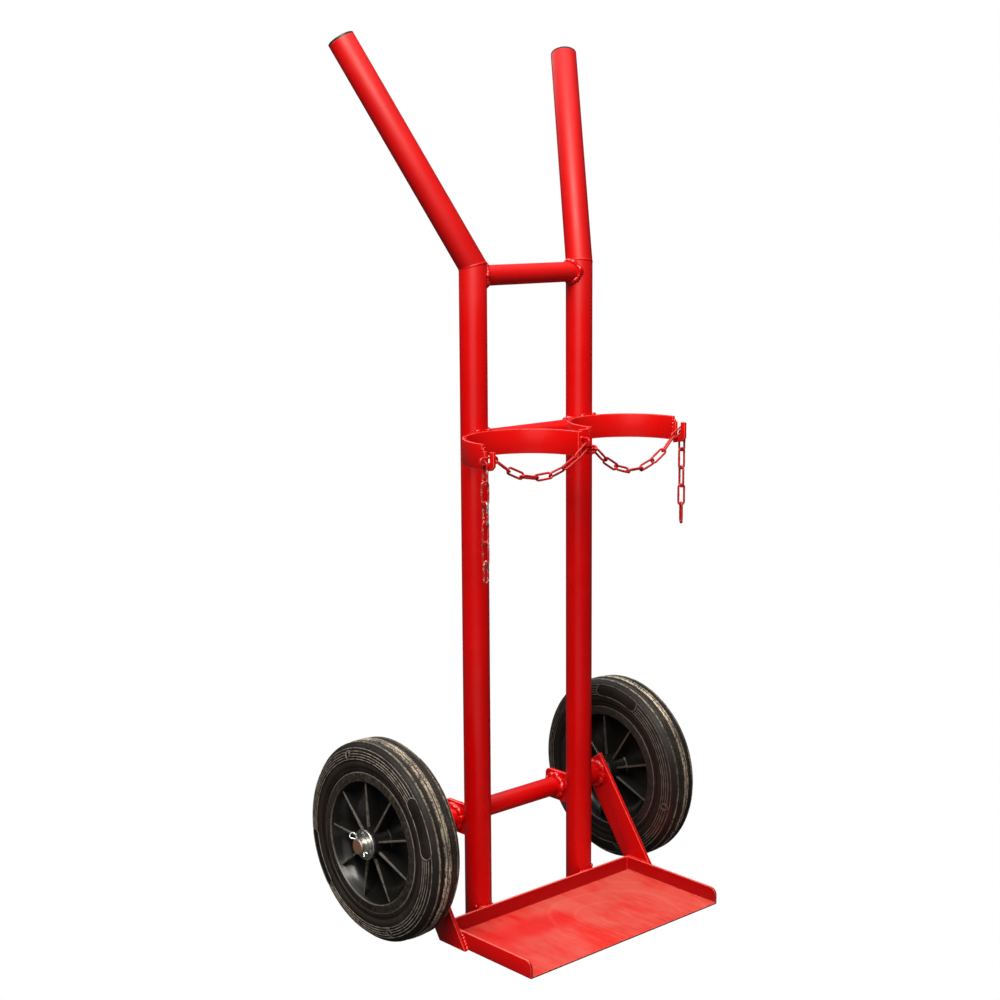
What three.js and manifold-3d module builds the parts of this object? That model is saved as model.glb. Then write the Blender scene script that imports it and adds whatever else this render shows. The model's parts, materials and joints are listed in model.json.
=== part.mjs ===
// Two-cylinder hand truck for gas bottles: a welded red tube frame with a folded toe plate,
// two C-shaped bottle bands, two safety chains with hanging tails, and two spoked rubber-tyred
// wheels on a solid axle.
// Millimetres, +Z up. +X is the right-hand side seen from the front, the toe plate points to -Y and
// the handles lean back to +Y. The origin is on the floor, at the middle of the bounding box.
// Inside the truck group, y = 0 is the plane through the centre lines of the two uprights.

import * as THREE from "three";
import { mergeVertices } from "three/addons/utils/BufferGeometryUtils.js";
import Module from "manifold-3d";

const wasm = await Module();
wasm.setup();

// ---- driving dimensions ----
const GAP = 0.3;

const UPRIGHT_X = 89;
const UPRIGHT_R = 16.85;
const UPRIGHT_WALL = 2.6;
const MITRE_Z = 820;
const HANDLE_VECTOR = [94.8, 125.6, 267.7];
const CAP_THICKNESS = 3;
const CAP_PLUG_LENGTH = 16;

const CROSSBAR_R = 12.5;
const CROSSBAR_WALL = 2;
const TOP_CROSSBAR_Z = 808.5;
const CRADLE_CROSSBAR_Z = 610.5;

const TOE_WIDTH = 328;
const TOE_FRONT_Y = -177;
const TOE_SHEET = 3;
const TOE_FLANGE = 22;
const TOE_CORNER_R = 9;

const TYRE_R = 125;
const TYRE_WIDTH = 50;
const AXLE_Y = 41;
const AXLE_Z = TYRE_R;
const AXLE_ROD_R = 10;
const AXLE_HALF_LENGTH = 248.5;
const AXLE_CHAMFER = 1.5;
const WHEEL_X = 207;
const RIB_COUNT = 9;
const RIB_THICKNESS = 2.6;
const RIB_PHASE = 3;

const STRUT_WIDTH = 40;
const STRUT_THICKNESS = 5;
const STRUT_ANGLES = { left: 33.5, right: 35.5 };
const BRACKET_HEIGHT = 40;
const BRACKET_THICKNESS = 5;
const BRACKET_REACH = 20;
const BRACKET_CORNER_R = 7;

const WASHER_R = 19;
const WASHER_THICKNESS = 3;
const INNER_WASHER_R = 17;
const INNER_WASHER_THICKNESS = 2;
const COTTER_R = 1.8;
const COTTER_RING_R = 4.6;
const COTTER_HALF_LENGTH = 15;
const COTTER_X = 242.7;
const COTTER_ANGLE = 45;

// The two bands were bent and welded by hand: the right one is a little tighter and sits higher.
const BANDS = {
  left: { x: 87, radius: 79.5, topZ: 624, halfAngle: 93 },
  right: { x: 83.5, radius: 76, topZ: 628, halfAngle: 95.8 },
};
const BAND_THICKNESS = 4;
const BAND_HEIGHT = 30;
const BAND_STEPS = 24;
const JOIN_TOP_Z = 626;

const CATCHES = {
  left: { x: 164.4, topZ: 616, notchZ: 600 },
  right: { x: 157.1, topZ: 621.5, notchZ: 602.5 },
};
const CATCH_WIDTH = 19.5;
const CATCH_DEPTH_BELOW_NOTCH = 8;
const CATCH_PRONG = 4.6;
const NOTCH_WIDTH = 8;

const EYE_ROD_R = 1.8;
const EYE_BEND_R = 4.5;
const EYE_REACH = 15;
const EYES = {
  left: { x: 6.5, z: 611.5, tilt: 0 },
  right: { x: 4, z: 601.5, tilt: 35 },
};

const LINK_WIRE_R = 1.25;
const LINK_INNER_LENGTH = 23.4;
const LINK_CROWN_R = 3.75;
// The link that sits in each catch: where its middle is, how far its outer end is lifted, and where
// the tail hangs from it.
const CATCH_LINKS = {
  left: { x: 163.8, lift: 0, tailX: 169.8 },
  right: { x: 155.6, lift: 24, tailX: 162.4 },
};
// Plan angles, from the truck's sideways line, of the windows of each tail's links.
const TAIL_TURNS = {
  left: [272, 205, 272, 187, 253, 167],
  right: [-81, -14, -98, -30, -122],
};
const DRAPE_ROLLS = {
  left: [0, 80, 150, 220, 290, 355, 425],
  right: [100, 163, 226, 289, 352, 415, 478],
};

const ROUND = 24;
const WHEEL_ROUND = 36;

// ---- derived dimensions ----
const TOE_BACK_Y = -UPRIGHT_R - GAP;
const STRUT_INNER_X = TOE_WIDTH / 2 + GAP;
const STRUT_OUTER_X = STRUT_INNER_X + STRUT_THICKNESS;
const HUB_INNER_X = STRUT_OUTER_X + INNER_WASHER_THICKNESS + 2 * GAP;
const HUB_OUTER_X = WHEEL_X + TYRE_WIDTH / 2 + 3;
const BAND_BACK_Y = -UPRIGHT_R - GAP;
const bandY = (band) => BAND_BACK_Y - band.radius;
const bandEndY = (band) =>
  bandY(band) - band.radius * Math.sin(THREE.MathUtils.degToRad(band.halfAngle - 90));
const BAND_END_Y = Math.min(bandEndY(BANDS.left), bandEndY(BANDS.right));
const CATCH_BACK_Y = BAND_END_Y - GAP;
const NOTCH_Y = CATCH_BACK_Y - CATCH_PRONG - NOTCH_WIDTH / 2;
const LINK_HALF = LINK_INNER_LENGTH / 2 + LINK_WIRE_R;
const LINK_STRAIGHT = LINK_HALF - LINK_CROWN_R;
const LINK_PITCH = LINK_INNER_LENGTH - GAP;

// ---- materials ----
const redPaint = new THREE.MeshStandardMaterial({ color: 0xd8121c, roughness: 0.38, metalness: 0 });
const chainPaint = new THREE.MeshStandardMaterial({ color: 0xd42a2c, roughness: 0.45, metalness: 0 });
const blackPlastic = new THREE.MeshStandardMaterial({ color: 0x15130f, roughness: 0.5, metalness: 0 });
const blackRubber = new THREE.MeshStandardMaterial({ color: 0x1d1a17, roughness: 0.8, metalness: 0 });
const zinc = new THREE.MeshStandardMaterial({ color: 0xc4c6c6, roughness: 0.35, metalness: 0.9 });
const rawSteel = new THREE.MeshStandardMaterial({ color: 0x6e5248, roughness: 0.6, metalness: 0.6 });

const object = new THREE.Group();
const truck = new THREE.Group();
truck.position.y = -(TOE_FRONT_Y + AXLE_Y + TYRE_R) / 2;
object.add(truck);

// Each half is modelled with +X pointing outwards, and the left half is turned into its mirror image.
const halves = { left: new THREE.Group(), right: new THREE.Group() };
halves.left.scale.x = -1;
truck.add(halves.left, halves.right);

// ---- helpers ----
function toSolid(geometry) {
  const bare = geometry.clone();
  bare.deleteAttribute("normal");
  bare.deleteAttribute("uv");
  const merged = mergeVertices(bare, 1e-4);
  const mesh = new wasm.Mesh({
    numProp: 3,
    vertProperties: merged.attributes.position.array,
    triVerts: new Uint32Array(merged.index.array),
  });
  return new wasm.Manifold(mesh);
}

function toGeometry(solid) {
  const { vertProperties, triVerts } = solid.getMesh();
  const shared = new THREE.BufferGeometry();
  shared.setAttribute("position", new THREE.BufferAttribute(vertProperties, 3));
  shared.setIndex(new THREE.BufferAttribute(triVerts, 1));
  const faceted = shared.toNonIndexed();
  faceted.computeVertexNormals();
  return faceted;
}

function cut(geometry, ...tools) {
  return toGeometry(tools.reduce((left, tool) => left.subtract(toSolid(tool)), toSolid(geometry)));
}

function join(geometry, ...others) {
  return toGeometry(others.reduce((sum, other) => sum.add(toSolid(other)), toSolid(geometry)));
}

function place(name, geometry, material, parent = truck) {
  const mesh = new THREE.Mesh(geometry, material);
  mesh.name = name;
  parent.add(mesh);
  return mesh;
}

// The same piece on both sides, named piece_left and piece_right.
function placePair(name, geometry, material) {
  for (const side of ["left", "right"]) place(`${name}_${side}`, geometry, material, halves[side]);
}

function box(x0, x1, y0, y1, z0, z1) {
  const block = new THREE.BoxGeometry(x1 - x0, y1 - y0, z1 - z0);
  return block.translate((x0 + x1) / 2, (y0 + y1) / 2, (z0 + z1) / 2);
}

// A body revolved about +X; the profile is a list of [x, radius] pairs that starts and ends on the
// axis or closes on itself.
function turned(profile, segments = ROUND) {
  const points = profile.map(([x, radius]) => new THREE.Vector2(radius, x));
  if (points[0].x > 0) points.push(points[0].clone());
  return new THREE.LatheGeometry(points, segments).rotateZ(-Math.PI / 2);
}

function rod(x0, x1, radius, segments = ROUND) {
  const bar = new THREE.CylinderGeometry(radius, radius, x1 - x0, segments);
  return bar.rotateZ(-Math.PI / 2).translate((x0 + x1) / 2, 0, 0);
}

function tube(x0, x1, radius, wall) {
  return turned([[x0, radius - wall], [x0, radius], [x1, radius], [x1, radius - wall]]);
}

// A plate standing in a YZ plane; outline is a list of [y, z] pairs, x0 its lower face.
function uprightPlate(outline, x0, thickness, holes = []) {
  const shape = new THREE.Shape(outline.map(([y, z]) => new THREE.Vector2(y, z)));
  for (const [y, z, radius] of holes) {
    const hole = new THREE.Path();
    hole.absarc(y, z, radius, 0, 2 * Math.PI, true);
    shape.holes.push(hole);
  }
  const plate = new THREE.ExtrudeGeometry(shape, {
    depth: thickness,
    bevelEnabled: false,
    curveSegments: ROUND,
  });
  return plate.rotateY(Math.PI / 2).rotateX(Math.PI / 2).translate(x0, 0, 0);
}

// Points of an arc from one angle to another, both in degrees.
function arcPoints(cy, cz, radius, from, to, steps) {
  return Array.from({ length: steps + 1 }, (_, i) => {
    const angle = THREE.MathUtils.degToRad(from + ((to - from) * i) / steps);
    return [cy + radius * Math.cos(angle), cz + radius * Math.sin(angle)];
  });
}

// Turns a body modelled along +X so that it runs along another direction, starting at a point.
function aim(geometry, direction, start) {
  const turn = new THREE.Quaternion().setFromUnitVectors(new THREE.Vector3(1, 0, 0), direction);
  return geometry.applyQuaternion(turn).translate(start.x, start.y, start.z);
}

// A large block that fills the space on one side of a plane.
function halfSpace(point, normal, side) {
  const size = 200;
  const block = new THREE.BoxGeometry(size, size, size).translate((side * size) / 2, 0, 0);
  return aim(block, normal, point.clone().addScaledVector(normal, (-side * GAP) / 2));
}

// ---- uprights and handles ----
const up = new THREE.Vector3(0, 0, 1);
const mitrePoint = new THREE.Vector3(UPRIGHT_X, 0, MITRE_Z);
const handleAxis = new THREE.Vector3(...HANDLE_VECTOR).normalize();
const handleLength = new THREE.Vector3(...HANDLE_VECTOR).length() - CAP_THICKNESS - GAP;
const mitreNormal = up.clone().add(handleAxis).normalize();

const uprightTube = aim(
  tube(0, MITRE_Z + 40, UPRIGHT_R, UPRIGHT_WALL),
  up,
  new THREE.Vector3(UPRIGHT_X, 0, 0),
);
placePair("upright", cut(uprightTube, halfSpace(mitrePoint, mitreNormal, 1)), redPaint);

const handleTube = aim(tube(-40, handleLength, UPRIGHT_R, UPRIGHT_WALL), handleAxis, mitrePoint);
placePair("handle", cut(handleTube, halfSpace(mitrePoint, mitreNormal, -1)), redPaint);

const capSeat = handleLength + GAP;
const plugR = UPRIGHT_R - UPRIGHT_WALL - GAP;
const capProfile = [
  [capSeat - CAP_PLUG_LENGTH, 0],
  [capSeat - CAP_PLUG_LENGTH, plugR - 1],
  [capSeat - CAP_PLUG_LENGTH + 3, plugR],
  [capSeat, plugR],
  [capSeat, UPRIGHT_R],
  [capSeat + CAP_THICKNESS - 1, UPRIGHT_R],
  [capSeat + CAP_THICKNESS, UPRIGHT_R - 1.5],
  [capSeat + CAP_THICKNESS, 0],
];
placePair("handle_cap", aim(turned(capProfile), handleAxis, mitrePoint), blackPlastic);

// ---- crossbars, coped round the uprights ----
function crossbar(z) {
  const bar = tube(-UPRIGHT_X, UPRIGHT_X, CROSSBAR_R, CROSSBAR_WALL).translate(0, 0, z);
  const copes = [-UPRIGHT_X, UPRIGHT_X].map((x) =>
    aim(rod(-2 * CROSSBAR_R, 2 * CROSSBAR_R, UPRIGHT_R + GAP), up, new THREE.Vector3(x, 0, z)),
  );
  return cut(bar, ...copes);
}
place("top_crossbar", crossbar(TOP_CROSSBAR_Z), redPaint);
place("cradle_crossbar", crossbar(CRADLE_CROSSBAR_Z), redPaint);

// ---- toe plate ----
const toeHalf = TOE_WIDTH / 2;
const toeSideOutline = [
  [TOE_BACK_Y, 0],
  [TOE_BACK_Y, TOE_FLANGE],
  ...arcPoints(TOE_FRONT_Y + TOE_CORNER_R, TOE_FLANGE - TOE_CORNER_R, TOE_CORNER_R, 90, 180, 6),
  [TOE_FRONT_Y, 0],
];
const toePlate = join(
  box(-toeHalf, toeHalf, TOE_FRONT_Y, TOE_BACK_Y, 0, TOE_SHEET),
  box(-toeHalf, toeHalf, TOE_BACK_Y - TOE_SHEET, TOE_BACK_Y, 0, TOE_FLANGE),
  uprightPlate(toeSideOutline, -toeHalf, TOE_SHEET),
  uprightPlate(toeSideOutline, toeHalf - TOE_SHEET, TOE_SHEET),
);
place("toe_plate", toePlate, redPaint);

// ---- axle tube, brackets and struts ----
const axleTube = tube(-toeHalf, toeHalf, CROSSBAR_R, CROSSBAR_WALL).translate(0, AXLE_Y, AXLE_Z);
place("axle_tube", axleTube, redPaint);

const bracketBack = AXLE_Y + BRACKET_REACH;
const bracketTop = AXLE_Z + BRACKET_HEIGHT / 2;
const bracketOutline = [
  [UPRIGHT_R + GAP, bracketTop - BRACKET_HEIGHT],
  [bracketBack, bracketTop - BRACKET_HEIGHT],
  ...arcPoints(bracketBack - BRACKET_CORNER_R, bracketTop - BRACKET_CORNER_R, BRACKET_CORNER_R, 0, 90, 6),
  [UPRIGHT_R + GAP, bracketTop],
];
const axleTubeHole = [AXLE_Y, AXLE_Z, CROSSBAR_R + GAP];
placePair(
  "axle_bracket",
  uprightPlate(bracketOutline, UPRIGHT_X - BRACKET_THICKNESS / 2, BRACKET_THICKNESS, [axleTubeHole]),
  redPaint,
);

// The strut's centre line runs through the axle; its top end is square and its foot is level.
function strutEdge(degrees, face) {
  const angle = THREE.MathUtils.degToRad(degrees);
  const down = new THREE.Vector2(-Math.sin(angle), -Math.cos(angle));
  const across = new THREE.Vector2(Math.cos(angle), -Math.sin(angle));
  const top = new THREE.Vector2(AXLE_Y, AXLE_Z)
    .addScaledVector(down, -STRUT_WIDTH / 2)
    .addScaledVector(across, (face * STRUT_WIDTH) / 2);
  const foot = top.clone().addScaledVector(down, -top.y / down.y);
  return { top: [top.x, top.y], foot: [foot.x, foot.y] };
}
const axleHole = [AXLE_Y, AXLE_Z, AXLE_ROD_R + GAP];
for (const side of ["left", "right"]) {
  const front = strutEdge(STRUT_ANGLES[side], -1);
  const rear = strutEdge(STRUT_ANGLES[side], 1);
  const outline = [front.foot, rear.foot, rear.top, front.top];
  const strut = uprightPlate(outline, STRUT_INNER_X, STRUT_THICKNESS, [axleHole]);
  place(`strut_${side}`, strut, redPaint, halves[side]);
}

// ---- axle rod with its washers and cotter pins ----
const cotterAngle = THREE.MathUtils.degToRad(COTTER_ANGLE);
const cotterAxis = new THREE.Vector3(0, Math.cos(cotterAngle), Math.sin(cotterAngle));
const cotterHoles = [-COTTER_X, COTTER_X].map((x) =>
  aim(rod(-2 * AXLE_ROD_R, 2 * AXLE_ROD_R, COTTER_R + GAP, 12), cotterAxis, new THREE.Vector3(x, 0, 0)),
);
const axleProfile = [
  [-AXLE_HALF_LENGTH, 0],
  [-AXLE_HALF_LENGTH, AXLE_ROD_R - AXLE_CHAMFER],
  [-AXLE_HALF_LENGTH + AXLE_CHAMFER, AXLE_ROD_R],
  [AXLE_HALF_LENGTH - AXLE_CHAMFER, AXLE_ROD_R],
  [AXLE_HALF_LENGTH, AXLE_ROD_R - AXLE_CHAMFER],
  [AXLE_HALF_LENGTH, 0],
];
const axleRod = cut(turned(axleProfile), ...cotterHoles).translate(0, AXLE_Y, AXLE_Z);
place("axle_rod", axleRod, rawSteel);

function washer(x0, thickness, radius) {
  const ring = tube(x0, x0 + thickness, radius, radius - AXLE_ROD_R - GAP);
  return ring.translate(0, AXLE_Y, AXLE_Z);
}
placePair("inner_washer", washer(STRUT_OUTER_X + GAP, INNER_WASHER_THICKNESS, INNER_WASHER_R), zinc);
placePair("outer_washer", washer(HUB_OUTER_X + GAP, WASHER_THICKNESS, WASHER_R), zinc);

const cotterRing = new THREE.TorusGeometry(COTTER_RING_R, COTTER_R, 8, 14);
cotterRing.translate(COTTER_HALF_LENGTH + COTTER_RING_R - 0.6, 0, 0);
const cotterBasis = new THREE.Matrix4().makeBasis(
  cotterAxis,
  new THREE.Vector3(1, 0, 0).cross(cotterAxis),
  new THREE.Vector3(1, 0, 0),
);
const cotter = join(rod(-COTTER_HALF_LENGTH, COTTER_HALF_LENGTH, COTTER_R, 10), cotterRing);
placePair(
  "cotter_pin",
  cotter.applyMatrix4(cotterBasis).translate(COTTER_X, AXLE_Y, AXLE_Z),
  zinc,
);

// ---- wheels ----
// Half of the tyre's section from the bead to the tread: [distance from the mid plane, radius].
const tyreHalf = [
  [21, 82.3],
  [21.3, 88.5],
  [23.5, 88.7],
  [24.8, 93],
  [25, 106],
  [23.4, 114],
  [19.4, 120],
  [13.4, 123.6],
  [8.4, 124.6],
  [7.8, 122.4],
  [5, 122.6],
  [4.4, TYRE_R],
];
const tyreProfile = [
  ...tyreHalf.map(([x, radius]) => [WHEEL_X + x, radius]),
  ...tyreHalf.map(([x, radius]) => [WHEEL_X - x, radius]).reverse(),
].reverse();
const tyre = turned(tyreProfile, WHEEL_ROUND).translate(0, AXLE_Y, AXLE_Z);
placePair("tyre", tyre, blackRubber);

const BORE_R = AXLE_ROD_R + GAP;
const HUB_R = 19;
const rimHalf = [
  [21.4, 82],
  [21.7, 88],
  [23, 88],
  [24, 76.6],
  [20, 74],
  [2, 70],
  [2, HUB_R],
];
const centreProfile = [
  ...rimHalf.map(([x, radius]) => [WHEEL_X + x, radius]),
  [HUB_OUTER_X, HUB_R],
  [HUB_OUTER_X, BORE_R],
  [HUB_INNER_X, BORE_R],
  [HUB_INNER_X, HUB_R],
  ...rimHalf.map(([x, radius]) => [WHEEL_X - x, radius]).reverse(),
];
function rib(index, face) {
  const outline = [[1, 15], [23.5, 15], [20.5, 77], [1, 77]];
  const shape = new THREE.Shape(outline.map(([x, r]) => new THREE.Vector2(WHEEL_X + face * x, r)));
  const web = new THREE.ExtrudeGeometry(shape, { depth: RIB_THICKNESS, bevelEnabled: false });
  const turn = THREE.MathUtils.degToRad(RIB_PHASE + (360 * index) / RIB_COUNT);
  return web.translate(0, 0, -RIB_THICKNESS / 2).rotateX(turn);
}
const ribs = Array.from({ length: RIB_COUNT }, (_, i) => [rib(i, 1), rib(i, -1)]).flat();
const centre = join(turned(centreProfile, WHEEL_ROUND), ...ribs).translate(0, AXLE_Y, AXLE_Z);
placePair("wheel_centre", centre, blackPlastic);

// ---- bottle bands, the plate that joins them, and the chain catches ----
function bandGeometry(band) {
  const { x, radius, topZ, halfAngle } = band;
  const innerR = radius - BAND_THICKNESS;
  const outline = [
    ...arcPoints(x, bandY(band), radius, 90 - halfAngle, 90 + halfAngle, BAND_STEPS),
    ...arcPoints(x, bandY(band), innerR, 90 + halfAngle, 90 - halfAngle, BAND_STEPS),
  ];
  const shape = new THREE.Shape(outline.map(([px, py]) => new THREE.Vector2(px, py)));
  const strip = new THREE.ExtrudeGeometry(shape, { depth: BAND_HEIGHT, bevelEnabled: false });
  return strip.translate(0, 0, topZ - BAND_HEIGHT);
}

function catchGeometry({ x, topZ, notchZ }) {
  const frontY = CATCH_BACK_Y - CATCH_WIDTH;
  const bottomZ = notchZ - CATCH_DEPTH_BELOW_NOTCH;
  const outline = [
    [frontY, bottomZ],
    [CATCH_BACK_Y, bottomZ],
    [CATCH_BACK_Y, topZ],
    [NOTCH_Y + NOTCH_WIDTH / 2, topZ],
    ...arcPoints(NOTCH_Y, notchZ + NOTCH_WIDTH / 2, NOTCH_WIDTH / 2, 0, -180, 8),
    [NOTCH_Y - NOTCH_WIDTH / 2, topZ],
    [frontY, topZ],
  ];
  return uprightPlate(outline, x - BAND_THICKNESS / 2, BAND_THICKNESS);
}

for (const side of ["left", "right"]) {
  place(`band_${side}`, bandGeometry(BANDS[side]), redPaint, halves[side]);
  place(`chain_catch_${side}`, catchGeometry(CATCHES[side]), redPaint, halves[side]);
}

const joinHalf = BANDS.left.x - BANDS.left.radius - GAP;
const joinPlate = box(
  -joinHalf,
  joinHalf,
  BAND_END_Y,
  BAND_END_Y + BAND_THICKNESS,
  JOIN_TOP_Z - BAND_HEIGHT,
  JOIN_TOP_Z,
);
place("band_join_plate", joinPlate, redPaint);

// ---- chain eyes: bent rods welded to the front of the join plate ----
const eyeFootY = BAND_END_Y - GAP;
const eyeBendY = eyeFootY - EYE_REACH + EYE_BEND_R + EYE_ROD_R;
function eye({ x, z, tilt }) {
  const bend = arcPoints(eyeBendY, 0, EYE_BEND_R, 90, 270, 8);
  const line = [[eyeFootY, EYE_BEND_R], ...bend, [eyeFootY, -EYE_BEND_R]];
  const path = new THREE.CurvePath();
  const points = line.map(([y, height]) => new THREE.Vector3(0, y, height));
  points.slice(1).forEach((point, i) => path.add(new THREE.LineCurve3(points[i], point)));
  const section = new THREE.Shape().absarc(0, 0, EYE_ROD_R, 0, 2 * Math.PI);
  const bent = new THREE.ExtrudeGeometry(section, {
    steps: 16,
    curveSegments: 4,
    extrudePath: path,
  });
  return bent.rotateY(THREE.MathUtils.degToRad(tilt)).translate(x, 0, z);
}
for (const [side, form] of Object.entries(EYES)) {
  place(`chain_eye_${side}`, eye(form), redPaint, halves[side]);
}

// ---- chains ----
// A link is a ring pulled apart along its length.
function link() {
  const ring = new THREE.TorusGeometry(LINK_CROWN_R, LINK_WIRE_R, 6, 10);
  const position = ring.attributes.position;
  for (let i = 0; i < position.count; i += 1) {
    position.setX(i, position.getX(i) + Math.sign(position.getX(i)) * LINK_STRAIGHT);
  }
  ring.computeVertexNormals();
  return ring;
}
const linkGeometry = link();

// Places a link by its centre, the direction of its length and the direction across its window.
function placeLink(name, side, centreAt, along, across) {
  const mesh = place(name, linkGeometry, chainPaint, halves[side]);
  const normal = along.clone().cross(across);
  mesh.quaternion.setFromRotationMatrix(new THREE.Matrix4().makeBasis(along, across, normal));
  mesh.position.copy(centreAt);
}

function bisect(low, high, tooLow) {
  for (let i = 0; i < 60; i += 1) {
    const middle = (low + high) / 2;
    if (tooLow(middle)) low = middle;
    else high = middle;
  }
  return (low + high) / 2;
}

// The slopes of a hanging chain's links: in equilibrium the tangents rise by equal steps.
function hangingAngles(lengths, span, rise) {
  const angles = (first, step) => lengths.map((_, i) => Math.atan(first + step * i));
  const total = (list, part) => list.reduce((sum, angle, i) => sum + lengths[i] * part(angle), 0);
  const firstFor = (step) =>
    bisect(-20, 20, (first) => total(angles(first, step), Math.sin) < rise);
  const step = bisect(0, 5, (s) => total(angles(firstFor(s), s), Math.cos) > span);
  return angles(firstFor(step), step);
}

// The chain from an eye to the inner crown of the link that sits in the catch.
function drape(side, start, end) {
  const level = end.clone().sub(start).setZ(0);
  const span = level.length();
  level.normalize();
  const rolls = DRAPE_ROLLS[side];
  const lengths = rolls.map(() => LINK_PITCH);
  lengths[0] -= EYE_ROD_R + GAP / 2;
  lengths[lengths.length - 1] += LINK_CROWN_R - LINK_WIRE_R - GAP / 2;
  const slopes = hangingAngles(lengths, span, end.z - start.z);
  const joint = start.clone();
  slopes.forEach((slope, i) => {
    const along = level.clone().multiplyScalar(Math.cos(slope)).addScaledVector(up, Math.sin(slope));
    const upward = level.clone().multiplyScalar(-Math.sin(slope)).addScaledVector(up, Math.cos(slope));
    const facing = along.clone().cross(upward);
    const roll = THREE.MathUtils.degToRad(rolls[i]);
    const across = upward.multiplyScalar(Math.cos(roll)).addScaledVector(facing, -Math.sin(roll));
    if (i === 0) joint.addScaledVector(along, -EYE_ROD_R - GAP / 2);
    const centreAt = joint.clone().addScaledVector(along, LINK_PITCH / 2);
    placeLink(`chain_${side}_${i + 1}`, side, centreAt, along, across);
    joint.addScaledVector(along, LINK_PITCH);
  });
}

const downwards = new THREE.Vector3(0, 0, -1);
const eyeContacts = {
  left: new THREE.Vector3(EYES.left.x, NOTCH_Y, EYES.left.z - EYE_BEND_R),
  right: new THREE.Vector3(EYES.right.x, eyeBendY - EYE_BEND_R, EYES.right.z),
};

// The link that lies in a catch: its lower wire rests in the notch.
function catchLink(side) {
  const { x, lift } = CATCH_LINKS[side];
  const angle = THREE.MathUtils.degToRad(lift);
  const along = new THREE.Vector3(Math.cos(angle), 0, Math.sin(angle));
  const across = new THREE.Vector3(-Math.sin(angle), 0, Math.cos(angle));
  const slope = Math.tan(angle);
  const wireHalf = LINK_WIRE_R / Math.cos(angle);
  const wireZ = CATCHES[side].notchZ + GAP + wireHalf + (slope * BAND_THICKNESS) / 2;
  const lowerWireZ = (atX) => wireZ + slope * (atX - CATCHES[side].x);
  const seatX = x - across.x * LINK_CROWN_R;
  const lowerWire = new THREE.Vector3(seatX, NOTCH_Y, lowerWireZ(seatX));
  const centreAt = lowerWire.clone().addScaledVector(across, LINK_CROWN_R);
  return { along, across, centreAt, lowerWireZ, wireHalf };
}

for (const side of ["left", "right"]) {
  const seat = catchLink(side);
  const crown = seat.centreAt.clone().addScaledVector(seat.along, -LINK_STRAIGHT);
  drape(side, eyeContacts[side], crown);
  placeLink(`chain_${side}_catch`, side, seat.centreAt, seat.along, seat.across);
  const { tailX } = CATCH_LINKS[side];
  const topCrown = seat.lowerWireZ(tailX) + seat.wireHalf + LINK_WIRE_R + 2 * GAP;
  TAIL_TURNS[side].forEach((degrees, i) => {
    const hang = new THREE.Vector3(tailX, NOTCH_Y, topCrown - LINK_HALF - i * LINK_PITCH);
    const turn = THREE.MathUtils.degToRad(degrees);
    const across = new THREE.Vector3(Math.cos(turn), Math.sin(turn), 0);
    placeLink(`chain_${side}_tail_${i + 1}`, side, hang, downwards, across);
  });
}

export default object;
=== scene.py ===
import json
import math
from functools import reduce

import bmesh
import bpy
import numpy as np
from mathutils import Matrix, Vector, noise
from mathutils.geometry import delaunay_2d_cdt


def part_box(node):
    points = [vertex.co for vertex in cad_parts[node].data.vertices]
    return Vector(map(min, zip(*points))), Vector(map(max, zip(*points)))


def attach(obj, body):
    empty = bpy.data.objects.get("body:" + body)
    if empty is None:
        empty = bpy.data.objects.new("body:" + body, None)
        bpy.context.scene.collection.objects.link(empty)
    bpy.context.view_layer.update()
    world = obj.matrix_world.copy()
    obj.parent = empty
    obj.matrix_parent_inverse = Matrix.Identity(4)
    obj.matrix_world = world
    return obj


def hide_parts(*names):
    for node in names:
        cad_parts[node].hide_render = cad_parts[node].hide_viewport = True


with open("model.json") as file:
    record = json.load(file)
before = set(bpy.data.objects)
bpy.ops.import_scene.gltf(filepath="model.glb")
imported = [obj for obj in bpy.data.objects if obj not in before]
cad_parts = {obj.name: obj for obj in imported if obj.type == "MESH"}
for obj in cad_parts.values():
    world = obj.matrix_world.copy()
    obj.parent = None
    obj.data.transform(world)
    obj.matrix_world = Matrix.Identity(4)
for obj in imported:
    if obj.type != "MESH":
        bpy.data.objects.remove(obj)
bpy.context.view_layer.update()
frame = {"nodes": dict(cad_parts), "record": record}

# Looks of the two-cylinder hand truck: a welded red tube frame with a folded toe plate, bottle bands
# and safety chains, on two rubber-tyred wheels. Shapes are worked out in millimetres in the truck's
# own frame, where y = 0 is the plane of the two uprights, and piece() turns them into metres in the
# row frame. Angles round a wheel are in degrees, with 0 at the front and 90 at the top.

MM = 0.001
# lengths in metres closer than this are the same
NEAR = 1e-5


# ---- sizes read from the frame ----
def span(node):
    """Lowest and highest corner of a CAD node in millimetres, in the truck's frame."""
    low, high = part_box(node)
    shift = Vector((0, UPRIGHT_PLANE_Y, 0))
    return np.array((low - shift) / MM), np.array((high - shift) / MM)


upright_low, upright_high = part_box("upright_right")
UPRIGHT_PLANE_Y = (upright_low.y + upright_high.y) / 2
SIDES = (("left", -1), ("right", 1))
WHEELS = ("wheel_left", "wheel_right")

low, high = span("upright_right")
UPRIGHT_X = (low[0] + high[0]) / 2
UPRIGHT_R = (high[0] - low[0]) / 2
UPRIGHT_WALL = 2.6
MITRE_Z = 820
HANDLE_VECTOR = np.array((94.8, 125.6, 267.7))
CAP_THICKNESS = 3
CAP_PLUG = 16
GAP = 0.3

low, high = span("top_crossbar")
CROSSBAR_R = (high[2] - low[2]) / 2
CROSSBAR_WALL = 2
TOP_CROSSBAR_Z = (high[2] + low[2]) / 2
low, high = span("cradle_crossbar")
CRADLE_CROSSBAR_Z = (high[2] + low[2]) / 2

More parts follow.
